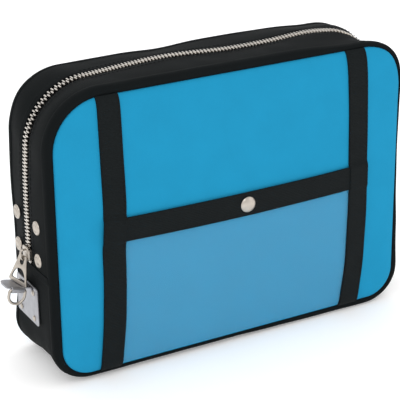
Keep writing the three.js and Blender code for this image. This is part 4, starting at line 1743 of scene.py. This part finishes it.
@dataclass
class Lock:
    """The lock plate with its tongue and barrel, the D-ring, and the rivets that hold the side."""

    tilt: float = math.radians(12.0)
    sheet: float = 1.5 * MM
    tongue_length: float = 22.5 * MM
    tongue_front: float = -8.2 * MM
    tongue_rear: float = 10.0 * MM
    barrel: float = 2.6 * MM
    bore: float = 1.6 * MM
    wire: float = 1.25 * MM
    bend: float = 3.0 * MM

    def __post_init__(self) -> None:
        """Reads the plate's place and works out the tongue's own axes."""
        low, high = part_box("lock_plate")
        self.plate_low = low
        self.back = high.x
        self.plate_top = low.z + 34 * MM
        self.width = high.y - low.y
        self.root = Vector((self.back - 0.1 * MM, 0.0, self.plate_top))
        self.out = Vector((-math.cos(self.tilt), 0.0, math.sin(self.tilt)))
        self.normal = Vector((math.sin(self.tilt), 0.0, math.cos(self.tilt)))

    def on_tongue(self, out: float, y: float, up: float) -> Vector:
        """The place of a point given along, across and above the tongue."""
        return self.root + self.out * out + ACROSS * y + self.normal * up

    def plate(self) -> Patch:
        """The flat plate, its tongue bent out of the top edge, and the barrel at the tongue's front.

        Returns:
            The plate.
        """
        height = self.plate_top - self.plate_low.z
        centre_y = self.plate_low.y + self.width / 2.0
        signs = ((-1, -1), (1, -1), (1, 1), (-1, 1))
        corners = [(s * self.width / 2.0, t * height / 2.0) for s, t in signs]
        rim = rounded_path(corners, [3 * MM] * 4)
        middle = (self.back - self.sheet / 2.0, centre_y, self.plate_low.z + height / 2.0)
        plate = flat_plate([rim], self.sheet, 0.35 * MM).moved(placed(middle, ACROSS, UP, LEFT))
        return merged([plate.turned_out(), self.tongue(), self.tube()])

    def tongue(self) -> Patch:
        """A strip that climbs the plate's face, bends outward along an arc and runs to a rounded end.

        Its width narrows over the last few millimetres as a quarter ellipse at each corner.

        Returns:
            The tongue.
        """
        turn = np.linspace(0.0, math.pi / 2.0 - self.tilt, 9)
        mid = self.sheet / 2.0
        climb = np.linspace(-5 * MM, -self.bend, 4)
        arc_out = self.bend * (1.0 - np.cos(turn))
        arc_up = self.bend * (np.sin(turn) - 1.0)
        run = np.linspace(0.8 * MM, self.tongue_length - arc_out[-1], 26)
        x = np.concatenate([0 * climb, arc_out[1:], arc_out[-1] + run * math.cos(self.tilt)])
        z = np.concatenate([climb, arc_up[1:], arc_up[-1] + run * math.sin(self.tilt)])
        path = np.stack([x, z], axis=1)
        heading = np.gradient(path, axis=0)
        heading /= np.linalg.norm(heading, axis=1, keepdims=True)
        off = np.stack([-heading[:, 1], heading[:, 0]], axis=1) * mid
        left = x[-1] - x
        front = self.tongue_front + 2 * MM * (1 - np.sqrt(1 - np.clip(1 - left / (2 * MM), 0, 1) ** 2))
        rear = self.tongue_rear - 6 * MM * (1 - np.sqrt(1 - np.clip(1 - left / (6 * MM), 0, 1) ** 2))
        share = np.concatenate([np.linspace(0, 1, 13), np.linspace(1, 0, 13)])
        layer = np.concatenate([np.ones(13), -np.ones(13)])
        layer[[0, 12, 13, 25]] *= 0.6
        y = front[:, None] + (rear - front)[:, None] * share[None]
        places = path[:, None] + off[:, None] * layer[None, :, None]
        base_x = self.back - self.sheet - mid
        points = np.stack([base_x - places[:, :, 0], y, self.plate_top + places[:, :, 1]], axis=2)
        return surface(points, closed_columns=True, capped=True)

    def tube(self) -> Patch:
        """The barrel: an open tube along the tongue's front edge.

        Returns:
            The tube.
        """
        r, b = self.barrel, self.bore
        start, end = 9 * MM, 20 * MM
        lip, crown = 0.3 * MM, 0.1 * MM
        profile = [
            (b, start), (b, end), (b + lip, end + crown), (r - lip, end + crown), (r, end - lip),
            (r, start + lip), (r - lip, start - crown), (b + lip, start - crown), (b, start),
        ]
        origin = tuple(self.on_tongue(0.0, self.tongue_front, -r))
        axis = placed(origin, ACROSS, self.out.cross(ACROSS), self.out)
        return turned(profile, 28).moved(axis).turned_out()

    def ring(self) -> Patch:
        """The D-ring: a straight bar in the barrel, and a bow of wire below it.

        Returns:
            The ring.
        """
        half, drop, corner = 7.1 * MM, 12.3 * MM, 2.2 * MM
        bar = np.linspace(-half + corner, half - corner, 8)
        turn = np.linspace(0.0, np.pi / 2.0, 7)[1:]
        right = np.stack([half - corner + corner * np.sin(turn), -corner + corner * np.cos(turn)], axis=1)
        bow_turn = np.linspace(0.0, -np.pi, 29)
        bow = np.stack([half * np.cos(bow_turn), half - drop + half * np.sin(bow_turn)], axis=1)
        flat = np.concatenate([np.stack([bar, 0 * bar], axis=1), right, bow, right[::-1] * [-1.0, 1.0]])
        centre = np.array(self.on_tongue(14.5 * MM, self.tongue_front, -self.barrel))
        path = centre + flat[:, :1] * -np.array(self.out) + flat[:, 1:] * np.array(self.normal)
        return rod(path, np.array(ACROSS), np.full(len(path), self.wire), 14, ring=True)

    def rivet(self, node: str, profile: list[tuple[float, float]]) -> Patch:
        """Turns a rivet's head about the axis of its CAD node, with heights out from the node's skin.

        Args:
            node: Name of the CAD node.
            profile: Steps of radius and height.

        Returns:
            The head.
        """
        low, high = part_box(node)
        centre = (low + high) / 2.0
        place = placed((low.x, centre.y, centre.z), ACROSS, UP, LEFT)
        return turned(profile, 32).moved(place).turned_out()

    def build(self, shop: Workshop) -> list[bpy.types.Object]:
        """Makes the plate, the ring and all the rivets.

        Args:
            shop: Maker of the pieces.

        Returns:
            The pieces.
        """
        made = []
        plate = shop.piece("lock_plate_steel", self.plate(), PLATE_STEEL, "plate_steel", 35)
        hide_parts("lock_plate")
        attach(plate, "bag")
        ring = shop.piece("d_ring", self.ring(), NICKEL, "nickel", 40)
        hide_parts("lock_ring")
        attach(ring, "lock_ring")
        made += [plate, ring]
        cap = [(0.0, 0.1), (1.6, 0.0), (2.4, -0.25), (2.9, -0.7), (3.3, -0.75), (3.9, -0.35), (4.8, -0.2),
               (5.5, -0.45), (6.0, -1.1), (6.1, -1.6), (5.7, -1.75), (2.0, -1.7), (2.0, -5.0), (0.0, -5.0)]
        small = [(0.0, 0.05), (1.2, -0.05), (2.0, -0.35), (2.45, -0.85), (2.5, -1.1), (1.2, -1.1),
                 (1.2, -7.0), (0.0, -7.0)]
        for prefix, profile in (("zip", cap), ("lock", small)):
            scaled_profile = [(r * MM, h * MM) for r, h in profile]
            for number in range(1, 5):
                node = f"{prefix}_rivet_{number}"
                rivet = shop.piece(f"{node}_head", self.rivet(node, scaled_profile), NICKEL, "nickel", 35)
                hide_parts(node)
                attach(rivet, "bag")
                made.append(rivet)
        backing = frame["nodes"]["lock_backing_plate"].data.materials
        backing.clear()
        backing.append(shop.finish(PLATE_STEEL))
        return made


# ---- setting ------------------------------------------------------------------------------------
@dataclass
class Studio:
    """A pale floor, soft lights and the camera."""

    azimuth: float = math.radians(-28.9)
    elevation: float = math.radians(22.7)
    roll: float = math.radians(-0.67)
    distance: float = 1.307
    target: tuple[float, float, float] = (-0.011, 0.0, 0.1205)
    lens: float = 135.5

    def camera(self) -> bpy.types.Object:
        """Stands the camera back along its azimuth and elevation, looking at the target.

        Returns:
            The camera.
        """
        a, e = self.azimuth, self.elevation
        back = Vector((math.sin(a) * math.cos(e), -math.cos(a) * math.cos(e), math.sin(e)))
        right = Vector((math.cos(a), math.sin(a), 0.0))
        up = back.cross(right)
        turned_right = right * math.cos(self.roll) + up * math.sin(self.roll)
        turned_up = back.cross(turned_right)
        data = bpy.data.cameras.new("camera")
        data.lens = self.lens
        data.sensor_width = 36.0
        data.clip_start = 0.05
        camera = bpy.data.objects.new("camera", data)
        place = Vector(self.target) + back * self.distance
        camera.matrix_world = placed(tuple(place), turned_right, turned_up, back)
        bpy.context.scene.collection.objects.link(camera)
        bpy.context.scene.camera = camera
        return camera

    def lamp(self, name: str, place: tuple, size: float, power: float) -> None:
        """Adds a square area light that looks at the target.

        Args:
            name: Name of the light.
            place: Where it stands.
            size: Length of its side.
            power: Its power in watts.
        """
        data = bpy.data.lights.new(name, "AREA")
        data.size = size
        data.energy = power
        lamp = bpy.data.objects.new(name, data)
        lamp.location = place
        lamp.rotation_euler = (Vector(place) - Vector(self.target)).to_track_quat("Z", "Y").to_euler()
        bpy.context.scene.collection.objects.link(lamp)

    def build(self, shop: Workshop) -> None:
        """Lays the floor, lights the scene and sets the camera.

        Args:
            shop: Maker of the pieces.
        """
        floor_grid = np.array([[(-6.0, -6.0, 0.0), (6.0, -6.0, 0.0)], [(-6.0, 6.0, 0.0), (6.0, 6.0, 0.0)]])
        patch = surface(floor_grid, closed=False).reversed()
        floor = shop.piece("floor", patch, FloorFinish("pale_floor", linear(250, 250, 250)), "")
        world = bpy.data.worlds.new("soft_sky")
        world.use_nodes = True
        world.node_tree.nodes["Background"].inputs["Color"].default_value = (1.0, 1.0, 1.0, 1.0)
        world.node_tree.nodes["Background"].inputs["Strength"].default_value = 0.95
        bpy.context.scene.world = world
        bpy.context.scene.view_settings.view_transform = "Standard"
        self.lamp("key", (-0.9, -1.1, 1.5), 1.0, 5.0)
        self.lamp("fill", (1.3, -1.2, 0.9), 1.4, 2.5)
        self.lamp("top", (0.1, 0.5, 1.8), 1.4, 5.0)
        self.camera()


def main() -> None:
    """Builds every sub-assembly in order and reports its pieces."""
    logging.basicConfig(level=logging.INFO, format="%(message)s")
    shop = Workshop()
    pattern = pattern_from_frame()
    Studio().build(shop)
    faces = {face: PaddedFace(pattern, face) for face in Face}
    front = faces[Face.FRONT]
    assemblies = [
        *faces.values(),
        *(Strap(pattern, front, side) for side in Side),
        SlipPocket(pattern, front),
        Gusset(pattern),
        Zip(pattern),
        Slider(),
        Lock(),
    ]
    for assembly in assemblies:
        pieces = assembly.build(shop)
        LOG.info("%s: %d pieces", type(assembly).__name__, len(pieces))


if __name__ == "__main__":
    main()
